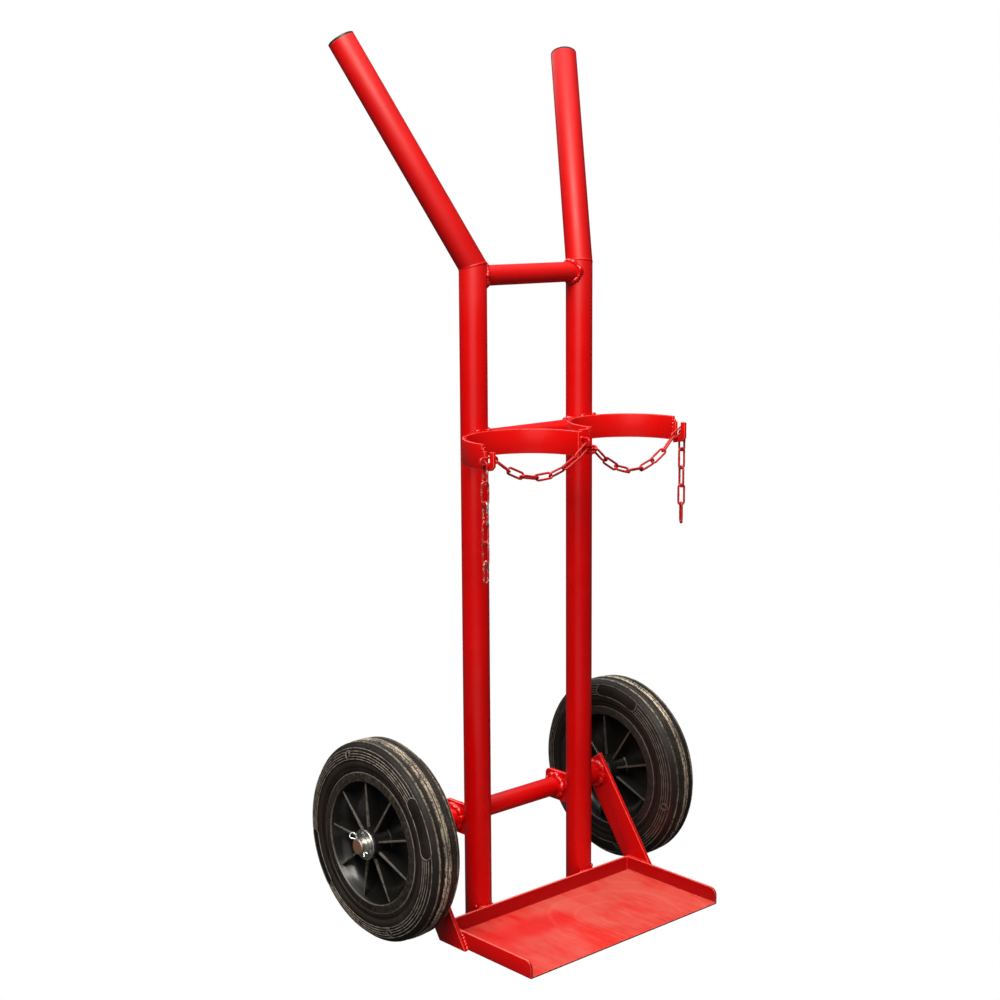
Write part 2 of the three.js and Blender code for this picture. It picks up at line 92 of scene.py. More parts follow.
low, high = span("toe_plate")
TOE_HALF = high[0]
TOE_BACK_Y = high[1]
TOE_FLANGE = high[2]
TOE_SHEET = 3
TOE_BEND_R = 2.4
FOOT_WELD_ASIDE = 10.5

low, high = span("axle_rod")
AXLE_Y = (high[1] + low[1]) / 2
AXLE_Z = (high[2] + low[2]) / 2
AXLE_R = (high[2] - low[2]) / 2
AXLE_HALF = high[0]

low, high = span("strut_right")
STRUT_INNER_X = low[0]
STRUT_THICKNESS = high[0] - low[0]
STRUT_WIDTH = 40
STRUT_ANGLES = {"left": math.radians(33.5), "right": math.radians(35.5)}
low, high = span("axle_bracket_right")
BRACKET_X = (low[0] + high[0]) / 2
BRACKET_THICKNESS = high[0] - low[0]
BRACKET_BACK = high[1]
BRACKET_LOW = low[2]
BRACKET_TOP = high[2]
BRACKET_CORNER_R = 7


def half_span(node, sign):
    """The same with x counted outwards from the truck's middle."""
    low, high = span(node)
    if sign < 0:
        low[0], high[0] = -high[0], -low[0]
    return low, high


# each band's outer radius and the angle between its middle and each end, in degrees
BAND_BENDS = {"left": (79.5, 93), "right": (76, 95.8)}
BAND_THICKNESS = 4
low, high = span("band_join_plate")
JOIN_HALF = high[0]
BAND_END_Y = low[1]
low, high = span("chain_catch_right")
CATCH_FRONT_Y = low[1]
CATCH_BACK_Y = high[1]
CATCH_PRONG = 4.6
CATCH_DEPTH_BELOW_NOTCH = 8
NOTCH_WIDTH = 8
EYE_ROD_R = 1.8
EYE_BEND_R = 4.5
EYE_REACH = 15
EYE_FOOT_Y = BAND_END_Y - GAP
# each eye's distance from the middle, its height and its tilt in degrees
EYES = {"left": (6.5, 611.5, 0), "right": (4, 601.5, 35)}

low, high = span("tyre_right")
WHEEL_X = (low[0] + high[0]) / 2
low, high = span("wheel_centre_right")
HUB_OUTER = high[0] - WHEEL_X
HUB_INNER = low[0] - WHEEL_X
WIRE_R = 1.38
LINK_CROWN_R = 3.75
LINK_STRAIGHT = 9.2

# ---- camera ----
CAMERA_AT = (-1.48518, -1.58497, 0.90007)
CAMERA_HEADING = math.radians(42.107)
CAMERA_PITCH = math.radians(9.717)
CAMERA_ROLL = math.radians(-0.389)
SENSOR_MM = 36
CAMERA_LENS_MM = 1.764468 * SENSOR_MM


def add_camera():
    """The camera stands in front of the truck, to the left, a little above its middle."""
    data = bpy.data.cameras.new("camera")
    data.sensor_width = SENSOR_MM
    data.lens = CAMERA_LENS_MM
    camera = bpy.data.objects.new("camera", data)
    bpy.context.scene.collection.objects.link(camera)
    sine, cosine = math.sin(CAMERA_HEADING), math.cos(CAMERA_HEADING)
    view = Vector((sine, cosine, -math.tan(CAMERA_PITCH))).normalized()
    across = Vector((cosine, -sine, 0))
    upward = across.cross(view)
    right = math.cos(CAMERA_ROLL) * across + math.sin(CAMERA_ROLL) * upward
    turn = Matrix((right, right.cross(view), -view)).transposed()
    camera.matrix_world = Matrix.Translation(CAMERA_AT) @ turn.to_4x4()
    bpy.context.scene.camera = camera


add_camera()


# ---- procedural materials ----
class Nodes:
    """A node tree, and short ways to add nodes to it."""

    def __init__(self, owner, coordinates):
        owner.use_nodes = True
        self.tree = owner.node_tree
        self.place = self.add("ShaderNodeTexCoord").outputs[coordinates]

    def add(self, kind, **settings):
        node = self.tree.nodes.new(kind)
        for key, value in settings.items():
            setattr(node, key, value)
        return node

    def feed(self, socket, value):
        if isinstance(value, bpy.types.NodeSocket):
            self.tree.links.new(value, socket)
        else:
            socket.default_value = value

    def math(self, operation, a, b=0.0, c=0.0):
        node = self.add("ShaderNodeMath", operation=operation)
        for socket, value in zip(node.inputs, (a, b, c)):
            self.feed(socket, value)
        return node.outputs[0]

    def times(self, *factors):
        """The product of values and numbers."""
        return reduce(lambda a, b: self.math("MULTIPLY", a, b), factors)

    def plus(self, *terms):
        """The sum of values and numbers."""
        return reduce(lambda a, b: self.math("ADD", a, b), terms)

    def noise(self, scale, detail=3.0, roughness=0.5, stretch=(1, 1, 1), place=None):
        mapped = self.add("ShaderNodeMapping")
        self.feed(mapped.inputs["Vector"], place or self.place)
        mapped.inputs["Scale"].default_value = stretch
        node = self.add("ShaderNodeTexNoise")
        self.feed(node.inputs["Vector"], mapped.outputs[0])
        node.inputs["Scale"].default_value = scale
        node.inputs["Detail"].default_value = detail
        node.inputs["Roughness"].default_value = roughness
        return node.outputs["Fac"]

    def ramp(self, value, low, high, to_low=0.0, to_high=1.0):
        """Goes smoothly from to_low to to_high as value goes from low to high."""
        node = self.add("ShaderNodeMapRange", interpolation_type="SMOOTHSTEP")
        for socket, entry in zip(node.inputs, (value, low, high, to_low, to_high)):
            self.feed(socket, entry)
        return node.outputs["Result"]

    def stripe(self, value, middle, full, none, height=1.0):
        """Height up to full away from middle, falling smoothly to nothing at none away from it."""
        away = self.math("ABSOLUTE", self.math("SUBTRACT", value, middle))
        return self.ramp(away, full, none, height, 0.0)

    def between(self, value, rise, fall, height=1.0):
        """Height where value lies between the pairs rise and fall, and nothing outside them."""
        return self.times(self.ramp(value, *rise, 0.0, height), self.ramp(value, *fall, 1.0, 0.0))

    def mix(self, share, a, b):
        node = self.add("ShaderNodeMix", data_type="RGBA")
        self.feed(node.inputs["Factor"], share)
        self.feed(node.inputs[6], a if isinstance(a, bpy.types.NodeSocket) else (*a, 1))
        self.feed(node.inputs[7], b if isinstance(b, bpy.types.NodeSocket) else (*b, 1))
        return node.outputs[2]

    def attribute(self, name):
        return self.add("ShaderNodeAttribute", attribute_name=name).outputs["Fac"]

    def axis(self, name, place=None):
        node = self.add("ShaderNodeSeparateXYZ")
        self.feed(node.inputs[0], place or self.place)
        return node.outputs[name]

    def white_to_the_eye(self, shed):
        """A strength of 1 where it is seen straight on; shed is the strength of the light it sheds."""
        node = self.add("ShaderNodeMix", data_type="FLOAT")
        self.feed(node.inputs[0], self.add("ShaderNodeLightPath").outputs["Is Camera Ray"])
        self.feed(node.inputs[2], shed)
        self.feed(node.inputs[3], 1.0)
        return node.outputs[0]


class Finish(Nodes):
    """A material with one Principled shader."""

    def __init__(self, name, **shader_values):
        self.material = bpy.data.materials.new(name)
        super().__init__(self.material, "Object")
        self.shader = self.tree.nodes["Principled BSDF"]
        for socket, value in shader_values.items():
            self.shader.inputs[socket.replace("_", " ")].default_value = value

    def colour(self, value):
        self.feed(self.shader.inputs["Base Color"], value)

    def gloss(self, value):
        self.feed(self.shader.inputs["Roughness"], value)

    def metal(self, value):
        self.feed(self.shader.inputs["Metallic"], value)

    def bump(self, height, distance):
        """Adds to the bumps that the shader already has; distance is in metres."""
        node = self.add("ShaderNodeBump")
        node.inputs["Strength"].default_value = 1.0
        node.inputs["Distance"].default_value = distance
        self.feed(node.inputs["Height"], height)
        previous = self.shader.inputs["Normal"]
        if previous.is_linked:
            self.feed(node.inputs["Normal"], previous.links[0].from_socket)
        self.feed(previous, node.outputs[0])


# colours, as linear red, green and blue
RED = (0.68, 0.0010, 0.0014)
RED_DEEP = (0.60, 0.0006, 0.0010)
# painted light: a lighter copy of the red for the bands, top crossbar, join plate and catches
RED_LIT_COPY = (0.76, 0.0040, 0.0030)
# painted shade: the darker red for the toe plate's inner flange faces and other faces that are not level
RED_PAINTED_SHADE = (0.34, 0.0004, 0.0008)
RED_CHALKY = (0.80, 0.045, 0.036)
# pale pink of the painted highlights: on rounded edges, on the toe plate's flange tops and on weld lumps
RED_PAINTED_HIGHLIGHT = (0.86, 0.15, 0.12)
# chalky pink of the floor's scuffing, which also stands in for its sheen: partly a painted reflection
RED_SCUFFED_AND_SHEEN = (0.57, 0.108, 0.078)
RED_ARC = (0.85, 0.22, 0.18)
CHAIN_RED = (0.62, 0.022, 0.018)
CHAIN_RED_DEEP = (0.44, 0.002, 0.003)
BARE_WIRE = (0.74, 0.69, 0.66)
RUBBER = (0.004, 0.003, 0.0025)
RUBBER_PALER = (0.012, 0.009, 0.007)
# brown haze on the walls, also used for the painted sheen on the bulge
RUBBER_HAZE = (0.062, 0.047, 0.038)
# grey-brown of the raised sidewall marks: rubbed wear and a painted highlight
RUBBER_RUBBED_AND_HIGHLIT = (0.23, 0.195, 0.165)
DUST = (0.66, 0.55, 0.42)
RING_DUST = (0.060, 0.045, 0.032)
# pale of the painted highlights on the wheel centre's lip, bowl edge and rib edges
PLASTIC_PAINTED_HIGHLIGHT = (0.20, 0.175, 0.15)
RUST = (0.24, 0.10, 0.055)
RUST_DARK = (0.17, 0.105, 0.075)
PAINT_IOR = 1.43
# heights in metres between which the paint goes from glossy to dulled by hands, the toe plate's
# floor comes and goes, and the painted highlight on the rim of its flanges starts
HANDLED_FROM = (0.74, 0.80)
FLOOR_FROM = (0.0020, 0.0029)
FLOOR_TO = (0.0031, 0.0040)
FLANGE_RIM_HIGHLIGHT_FROM = (0.0210, 0.0216)
# distances from the axle in metres between which each part of a wheel starts or ends
TREAD_FROM = (0.1216, 0.1232)
BULGE_FROM = (0.0940, 0.0960)
BULGE_TO = (0.1005, 0.1018)
RING_FROM = (0.0755, 0.0775)
LIP_FROM = (0.0866, 0.0872)
LIP_TO = (0.0879, 0.0884)
RIB_FROM = (0.0196, 0.0206)
RIB_TO = (0.0744, 0.0750)
BOWL_EDGE_R = 0.0768
# distances from a wheel's mid plane in metres between which the painted highlight on a rib's free edge
# starts
RIB_EDGE_FROM = (0.0194, 0.0200)
# middle of the part of the toe plate that stays unrubbed, in metres, and its width for its depth
UNRUBBED_AT = (-0.050, -0.066)
UNRUBBED_ASPECT = 2.4
# middle of the arcs that turned bottles leave on the toe plate, in metres
ARCS_AT = (0.035, -0.12, 0)


def painted_edge_highlight(f, base):
    """Paint made pale, in patches, along the rounded edges that finish_mesh marks: a painted highlight on
    the edges.
    """
    patchy = f.ramp(f.noise(140), 0.3, 0.6, 0.35, 1.0)
    return f.mix(f.times(f.attribute("edge"), patchy, 0.75), base, RED_PAINTED_HIGHLIGHT)


def red_paint(name, red, deep):
    """Gloss enamel: slightly uneven colour, faint orange peel and a painted highlight in patches along
    the rounded edges; hands have dulled it towards the handles."""
    f = Finish(name, IOR=PAINT_IOR)
    base = f.mix(f.ramp(f.noise(7, detail=4), 0.35, 0.7), red, deep)
    rubbed = f.ramp(f.noise(60, detail=5, roughness=0.65), 0.52, 0.75)
    f.colour(painted_edge_highlight(f, f.mix(f.times(rubbed, 0.07), base, RED_CHALKY)))
    plain = f.ramp(f.noise(22, detail=2), 0.3, 0.75, 0.28, 0.34)
    f.gloss(f.plus(plain, f.ramp(f.axis("Z"), *HANDLED_FROM, 0.0, 0.16)))
    f.bump(f.noise(300, detail=1), 0.00002)
    return f.material


def toe_faces(f):
    """Shares of the toe plate's faces: all level ones, its floor, and its two outer sides."""
    normal = f.add("ShaderNodeNewGeometry").outputs["True Normal"]
    level = f.ramp(f.axis("Z", normal), 0.6, 0.95)
    floor = f.times(level, f.between(f.axis("Z"), FLOOR_FROM, FLOOR_TO))
    aside = f.math("ABSOLUTE", f.axis("X"))
    outside = f.ramp(aside, (TOE_HALF - 0.4) * MM, (TOE_HALF - 0.05) * MM)
    return level, floor, outside


def unrubbed_patch(f):
    """Share of the scuffing: a quarter in one uneven patch of the floor and all of it elsewhere."""
    aside = f.plus(f.axis("X"), -UNRUBBED_AT[0])
    ahead = f.times(f.plus(f.axis("Y"), -UNRUBBED_AT[1]), UNRUBBED_ASPECT)
    away = f.math("SQRT", f.plus(f.times(aside, aside), f.times(ahead, ahead)))
    uneven = f.times(f.math("SUBTRACT", f.noise(14, detail=3), 0.5), 0.07)
    return f.ramp(f.plus(away, uneven), 0.025, 0.09, 0.25, 1.0)


def bottle_arcs(f):
    """Thin uneven rings round one point."""
    rings = f.add("ShaderNodeTexWave", wave_type="RINGS", rings_direction="Z")
    moved = f.add("ShaderNodeMapping")
    f.feed(moved.inputs["Vector"], f.place)
    moved.inputs["Location"].default_value = [-place for place in ARCS_AT]
    f.feed(rings.inputs["Vector"], moved.outputs[0])
    rings.inputs["Scale"].default_value = 9
    rings.inputs["Distortion"].default_value = 3.5
    rings.inputs["Detail"].default_value = 2
    return f.ramp(rings.outputs["Fac"], 0.9, 1.0)


def toe_paint():
    """The same enamel, with painted shade: darker on every face that is neither level nor outside a
    side flange. The level tops of the flanges get a painted highlight. The floor is scuffed to an even
    chalky haze, partly a painted sheen, with fine scratches and a few long arcs where bottles stand."""
    f = Finish("toe_paint", IOR=PAINT_IOR)
    level, floor, outside = toe_faces(f)
    red = f.mix(f.ramp(f.noise(7, detail=4), 0.35, 0.7), RED, RED_DEEP)
    # painted shade: darker red on faces that are neither level nor outside a side flange
    base = f.mix(f.math("MAXIMUM", level, outside), RED_PAINTED_SHADE, red)
    # painted highlight: the level tops of the flanges made paler
    rim = f.times(level, f.ramp(f.axis("Z"), *FLANGE_RIM_HIGHLIGHT_FROM, 0.0, 0.6))
    base = f.mix(rim, base, RED_PAINTED_HIGHLIGHT)
    patches = f.ramp(f.noise(11, detail=5, roughness=0.6, stretch=(1.0, 0.8, 1)), 0.30, 0.70)
    scratches = f.noise(90, detail=6, roughness=0.75, stretch=(1.5, 0.10, 1))
    fine = f.noise(300, detail=5, roughness=0.75, stretch=(1.2, 0.08, 1))
    haze = f.plus(f.times(patches, 0.42), f.times(scratches, 0.75), f.times(fine, 0.65))
    # the chalky haze is scuffing and also a painted sheen, standing in for the floor's reflection of the
    # light above
    scuffed = f.times(f.ramp(haze, 0.50, 1.22, 0.08, 0.76), unrubbed_patch(f), floor)
    base = f.mix(scuffed, base, RED_SCUFFED_AND_SHEEN)
    arcs = f.times(bottle_arcs(f), f.ramp(patches, 0.3, 0.8), floor, 0.10)
    f.colour(painted_edge_highlight(f, f.mix(arcs, base, RED_ARC)))
    plain = f.ramp(f.noise(22, detail=2), 0.3, 0.75, 0.30, 0.38)
    f.gloss(f.plus(plain, f.times(scuffed, 0.25)))
    f.bump(f.times(fine, floor), 0.0001)
    return f.material


def weld_paint():
    """Enamel over weld metal: rough under the paint, with pale patches of painted highlight."""
    f = Finish("weld_paint", Coat_Weight=0.3, Coat_Roughness=0.15, IOR=1.5)
    mottled = f.noise(240, detail=4, roughness=0.6)
    base = f.mix(f.ramp(mottled, 0.35, 0.65), RED_DEEP, RED)
    # painted highlight: pale patches on the weld lumps
    f.colour(f.mix(f.ramp(mottled, 0.6, 0.8, 0.0, 0.35), base, RED_PAINTED_HIGHLIGHT))
    f.gloss(f.ramp(mottled, 0.3, 0.7, 0.16, 0.3))
    f.bump(f.noise(500, detail=3), 0.0002)
    return f.material


def chain_paint(name, chip_start):
    """Red paint over zinc-plated wire; it is chipped to the metal where the noise passes chip_start."""
    f = Finish(name, IOR=1.5)
    base = f.mix(f.noise(180, detail=4), CHAIN_RED_DEEP, CHAIN_RED)
    chips = f.noise(190, detail=6, roughness=0.72)
    bare = f.ramp(chips, chip_start, chip_start + 0.035)
    f.colour(f.mix(bare, base, BARE_WIRE))
    f.metal(bare)
    f.gloss(f.ramp(f.noise(150), 0.3, 0.7, 0.28, 0.45))
    f.bump(f.times(bare, -1.0), 0.00015)
    f.bump(f.noise(900, detail=3), 0.0001)
    return f.material


def right_wheel_painted_shade(f):
    """Share of the pale marks on each wheel: all of them on the left one, less on the right one, which
    paints shade on the right wheel.
    """
    return f.ramp(f.axis("X"), -0.05, 0.05, 1.0, 0.45)


def wheel_places(f):
    """Distance from the axle, a vector that runs round the wheel, and distance from the mid plane."""
    centred = f.add("ShaderNodeVectorMath", operation="SUBTRACT")
    f.feed(centred.inputs[0], f.place)
    centred.inputs[1].default_value = (0, AXLE_Y * MM + UPRIGHT_PLANE_Y, AXLE_Z * MM)
    apart = f.add("ShaderNodeSeparateXYZ")
    f.feed(apart.inputs[0], centred.outputs[0])
    x, y, z = apart.outputs
    radius = f.math("SQRT", f.plus(f.times(y, y), f.times(z, z)))
    off_middle = f.math("SUBTRACT", f.math("ABSOLUTE", x), WHEEL_X * MM)
    round_wheel = f.add("ShaderNodeCombineXYZ")
    parts = (f.times(x, 8.0), f.math("DIVIDE", y, radius), f.math("DIVIDE", z, radius))
    for socket, part in zip(round_wheel.inputs, parts):
        f.feed(socket, part)
    return radius, round_wheel.outputs[0], off_middle


def dust_stripes(f, off_middle):
    """Where dust lies on the tread: two stripes near the middle, the worn edge on each side and,
    faintly, most of the inner half. Distances from the mid plane are in millimetres."""
    wander = f.math("SUBTRACT", f.noise(70, detail=3), 0.5)
    across = f.plus(f.math("DIVIDE", off_middle, MM), f.times(wander, 1.6))
    lands = (
        f.stripe(across, -0.6, 1.6, 2.8),
        f.stripe(across, 4.3, 0.9, 1.9, 0.9),
        f.stripe(f.math("ABSOLUTE", across), 13.8, 0.7, 1.7, 0.5),
        f.between(across, (-12.6, -11.6), (-4.5, -2.5), 0.05),
    )
    return reduce(lambda a, b: f.math("MAXIMUM", a, b), lands)


def tyre_rubber():
    """Black rubber: beige dust on the tread's lands and a brown haze on the walls, with a paler band on
    the bulge that is dust and a painted sheen; the right wheel gets less haze, as painted shade.
    """
    f = Finish("tyre_rubber", IOR=1.37)
    radius, round_wheel, off_middle = wheel_places(f)
    rubber = f.mix(f.noise(45, detail=5), RUBBER, RUBBER_PALER)
    on_tread = f.ramp(radius, *TREAD_FROM)
    streaky = f.noise(1.0, detail=8, roughness=0.75, stretch=(95, 9, 9), place=round_wheel)
    speckled = f.noise(330, detail=5, roughness=0.75)
    mottle = f.plus(f.times(streaky, 0.6), f.times(speckled, 0.5))
    dusty = f.times(f.ramp(mottle, 0.49, 0.58, 0.05, 1.0), dust_stripes(f, off_middle))
    dusty = f.times(dusty, f.ramp(f.noise(13, detail=2), 0.34, 0.56, 0.35, 1.0), on_tread)
    haze = f.ramp(f.noise(26, detail=6, roughness=0.7), 0.42, 0.8, 0.0, 0.30)
    # dust and a painted sheen: the bulge made paler
    bulge_dust_and_sheen = f.between(radius, BULGE_FROM, BULGE_TO, 0.26)
    fine = f.ramp(speckled, 0.52, 0.72, 0.0, 0.25)
    # painted shade: the right wheel keeps less of the wall's haze
    hazy = f.times(f.plus(haze, bulge_dust_and_sheen, fine), right_wheel_painted_shade(f))
    colour = f.mix(hazy, rubber, RUBBER_HAZE)
    f.colour(f.mix(dusty, colour, DUST))
    f.gloss(f.ramp(f.noise(30, detail=4), 0.3, 0.7, 0.42, 0.6))
    f.bump(f.noise(500, detail=4, roughness=0.6), 0.00012)
    f.bump(f.times(speckled, on_tread), 0.0005)
    return f.material


def rubber_worn_and_highlit():
    """The same rubber where it stands proud: grey-brown from rubbing and from a painted highlight, darker
    on the right wheel as painted shade.
    """
    f = Finish("rubber_worn_and_highlit", IOR=1.5)
    rubbed = f.ramp(f.noise(120, detail=4, roughness=0.6), 0.3, 0.6)
    # rubbed wear and painted highlight on the raised marks
    worn = f.mix(rubbed, (0.055, 0.045, 0.037), RUBBER_RUBBED_AND_HIGHLIT)
    # painted shade: darker marks on the right wheel
    f.colour(f.mix(right_wheel_painted_shade(f), (0.02, 0.017, 0.015), worn))
    f.gloss(f.ramp(f.noise(60), 0.3, 0.7, 0.4, 0.6))
    f.bump(f.noise(700, detail=3), 0.00008)
    return f.material


def wheel_plastic():
    """Moulded black plastic: satin, with brown dust on the outer ring and painted highlights on the
    lip, the bowl's edge and the ribs' free edges; the right wheel keeps less of both, as painted shade."""
    f = Finish("wheel_plastic", IOR=1.46)
    radius, _, off_middle = wheel_places(f)
    black = f.mix(f.noise(30, detail=3), (0.005, 0.005, 0.005), (0.012, 0.011, 0.011))
    ring = f.ramp(radius, *RING_FROM)
    speckle = f.ramp(f.noise(190, detail=6, roughness=0.75), 0.42, 0.66, 0.05, 1.0)
    # painted shade: less dust on the right wheel's ring
    colour = f.mix(f.times(ring, speckle, right_wheel_painted_shade(f)), black, RING_DUST)
    # painted highlights: the lip, the bowl's edge and the ribs' free edges made paler in patches
    lip = f.between(radius, LIP_FROM, LIP_TO)
    rim = f.stripe(radius, BOWL_EDGE_R, 0.0002, 0.0009, 0.5)
    on_rib = f.between(radius, RIB_FROM, RIB_TO, 0.6)
    free = f.times(f.ramp(f.math("ABSOLUTE", off_middle), *RIB_EDGE_FROM), on_rib)
    rubbed = f.math("MAXIMUM", f.math("MAXIMUM", lip, rim), free)
    rubbed = f.times(rubbed, f.ramp(f.noise(160), 0.25, 0.6, 0.4, 1.0), right_wheel_painted_shade(f))
    f.colour(f.mix(rubbed, colour, PLASTIC_PAINTED_HIGHLIGHT))
    plain = f.ramp(f.noise(24, detail=3), 0.3, 0.7, 0.20, 0.27)
    f.gloss(f.plus(plain, f.times(ring, 0.25)))
    f.bump(f.noise(700, detail=1), 0.00002)
    return f.material


def black_plastic():
    """Satin black end caps."""
    f = Finish("black_plastic", IOR=1.5)
    f.colour(f.mix(f.noise(90, detail=4), (0.012, 0.012, 0.013), (0.045, 0.045, 0.048)))
    f.gloss(f.ramp(f.noise(60), 0.3, 0.7, 0.35, 0.5))
    f.bump(f.noise(1200, detail=2), 0.00005)
    return f.material


def zinc_plate():
    """Bright zinc with a faint blue-yellow cast and small dull spots."""
    f = Finish("zinc", Metallic=1.0)
    f.colour(f.mix(f.noise(130, detail=4), (0.66, 0.69, 0.70), (0.78, 0.76, 0.70)))
    f.gloss(f.ramp(f.noise(300, detail=5, roughness=0.65), 0.35, 0.7, 0.2, 0.42))
    f.bump(f.noise(800, detail=3), 0.00006)
    return f.material


def axle_steel():
    """Drawn steel bar, bright round its side and rusty brown on its sawn ends."""
    f = Finish("axle_steel")
    end = f.ramp(f.math("ABSOLUTE", f.axis("X")), (AXLE_HALF - 0.5) * MM, (AXLE_HALF - 0.1) * MM)
    spots = f.ramp(f.noise(350, detail=6, roughness=0.7), 0.4, 0.7)
    rust = f.math("MAXIMUM", end, f.times(spots, 0.35))
    brown = f.mix(f.noise(420, detail=5), RUST, RUST_DARK)
    f.colour(f.mix(rust, (0.62, 0.58, 0.54), brown))
    f.metal(f.ramp(rust, 0.2, 0.9, 1.0, 0.15))
    f.gloss(f.ramp(rust, 0.0, 1.0, 0.3, 0.62))
    f.bump(f.noise(600, detail=4), 0.00015)
    return f.material


FINISH = {
    "red": (red_paint("red_paint", RED, RED_DEEP), "red_paint"),
    # the same red paint made lighter: painted light
    "red_lit_copy": (red_paint("red_paint_lit_copy", RED_LIT_COPY, RED), "red_paint"),
    "toe": (toe_paint(), "red_paint"),
    "weld": (weld_paint(), "red_paint"),
    "chain": (chain_paint("chain_paint", 0.66), "chain_paint"),
    "chain_chipped": (chain_paint("chain_paint_chipped", 0.55), "chain_paint"),
    "plastic": (black_plastic(), "black_plastic"),
    "wheel": (wheel_plastic(), "black_plastic"),
    "rubber": (tyre_rubber(), "tyre_rubber"),
    "rubber_worn_and_highlit": (rubber_worn_and_highlit(), "tyre_rubber"),
    "zinc": (zinc_plate(), "zinc"),
    "axle": (axle_steel(), "axle_steel"),
}


# ---- shapes ----
class Shape:
    """Points in millimetres and the faces between them."""

    def __init__(self, points, faces):
        self.points = np.asarray(points, float).reshape(-1, 3)
        self.faces = [tuple(face) for face in faces]

    def __add__(self, other):
        offset = len(self.points)
        moved = [tuple(i + offset for i in face) for face in other.faces]
        return Shape(np.vstack((self.points, other.points)), self.faces + moved)

    def moved(self, x=0, y=0, z=0):
        return Shape(self.points + (x, y, z), self.faces)

    def turned(self, columns):
        """The shape with its own x, y and z axes along the three given directions."""
        return Shape(self.points @ np.array(columns, float), self.faces)

    def mirrored(self):
        return Shape(self.points * (-1, 1, 1), self.faces)


def together(shapes):
    """One shape made of all the given ones."""
    return reduce(lambda a, b: a + b, shapes)


def unit(vector):
    vector = np.asarray(vector, float)
    return vector / np.linalg.norm(vector)


def once_round(count):
    """Angles evenly spaced over a full turn."""
    return 2 * math.pi * np.arange(count) / count


def mirrored_profile(half):
    """The mirror image of half of a wheel's outline, in reverse order."""
    return [(-x, radius) for x, radius in reversed(half)]


def revolved(profile, segments):
    """A profile of (x, radius) pairs turned about +X. It starts and ends on the axis, or closes."""
    angles = once_round(segments)
    points, rings, faces = [], [], []
    for x, radius in profile:
        if radius == 0:
            rings.append([len(points)] * segments)
            points.append((x, 0, 0))
            continue
        rings.append(list(range(len(points), len(points) + segments)))
        points += [(x, -radius * math.cos(a), radius * math.sin(a)) for a in angles]
    pairs = list(zip(rings, rings[1:]))
    if profile[0][1] > 0:
        pairs.append((rings[-1], rings[0]))
    for a, b in pairs:
        for i in range(segments):
            j = (i + 1) % segments
            faces.append(tuple(dict.fromkeys((a[i], a[j], b[j], b[i]))))
    return Shape(points, faces)


def loft(rings, closed=False):
    """A skin through rings with the same number of points; open lofts get flat ends."""
    count = len(rings[0])
    points = np.vstack(rings)
    faces = []
    last = len(rings) if closed else len(rings) - 1
    for k in range(last):
        a, b = k * count, (k + 1) % len(rings) * count
        for i in range(count):
            j = (i + 1) % count
            faces.append((a + i, a + j, b + j, b + i))
    if not closed:
        faces.append(tuple(range(count)))
        faces.append(tuple(len(points) - count + i for i in range(count)))
    return Shape(points, faces)


def frames_along(path, closed, up):
    """Tangents and normals along a path, and how far the normals have turned after one round."""
    if closed:
        tangents = np.roll(path, -1, 0) - np.roll(path, 1, 0)
    else:
        tangents = np.gradient(path, axis=0)
    tangents /= np.linalg.norm(tangents, axis=1)[:, None]
    guide = np.array(up if up is not None else (0.13, 0.29, 0.95), float)
    if abs(unit(guide) @ tangents[0]) > 0.9:
        guide = np.array((0.95, 0.29, 0.13))
    normals = []
    for tangent in tangents:
        guide = unit(guide - (guide @ tangent) * tangent)
        normals.append(guide)
        if up is not None:
            guide = np.array(up, float)
    if not closed or up is not None:
        return tangents, normals, 0.0
    start, end = normals[0], unit(normals[-1] - (normals[-1] @ tangents[0]) * tangents[0])
    return tangents, normals, math.atan2(np.cross(end, start) @ tangents[0], end @ start)


def swept(path, radii, sides=12, closed=False, flat=1.0, up=None):
    """A round section along a path, with a radius at each point. flat squeezes it along up."""
    path = np.asarray(path, float)
    radii = np.broadcast_to(radii, len(path))
    tangents, normals, twist = frames_along(path, closed, up)
    rings = []
    for k, (centre, tangent, normal) in enumerate(zip(path, tangents, normals)):
        side = np.cross(tangent, normal)
        angles = once_round(sides) + twist * k / len(path)
        ring = np.outer(np.cos(angles) * flat, normal) + np.outer(np.sin(angles), side)
        rings.append(centre + radii[k] * ring)
    return loft(rings, closed)


def arc(cy, cz, radius, start, end, steps):
    """Points of an arc in a plane, from one angle to another in degrees."""
    angles = np.radians(np.linspace(start, end, steps + 1))
    return [(cy + radius * math.cos(a), cz + radius * math.sin(a)) for a in angles]


def plate(outline, x0, thickness, holes=()):
    """A plate in a YZ plane from x0; holes are (y, z, radius)."""
    loops = [list(outline)]
    loops += [arc(y, z, radius, 0, 360, 64)[:-1] for y, z, radius in holes]
    flat, edges = [], []
    for loop in loops:
        first = len(flat)
        flat += [Vector(p) for p in loop]
        edges += [(first + i, first + (i + 1) % len(loop)) for i in range(len(loop))]
    made = delaunay_2d_cdt(flat, edges, [], 1 if not holes else 2, 1e-6)
    corners, triangles = made[0], made[2]
    if holes:
        triangles = [t for t in triangles if not _in_hole(corners, t, holes)]
    count = len(corners)
    points = [(x0, c[0], c[1]) for c in corners] + [(x0 + thickness, c[0], c[1]) for c in corners]
    faces = list(triangles) + [tuple(count + i for i in reversed(t)) for t in triangles]
    sides = {}
    for t in triangles:
        for i, j in zip(t, (*t[1:], t[0])):
            sides[frozenset((i, j))] = None if frozenset((i, j)) in sides else (i, j)
    faces += [(pair[1], pair[0], count + pair[0], count + pair[1]) for pair in sides.values() if pair]
    return Shape(points, faces)


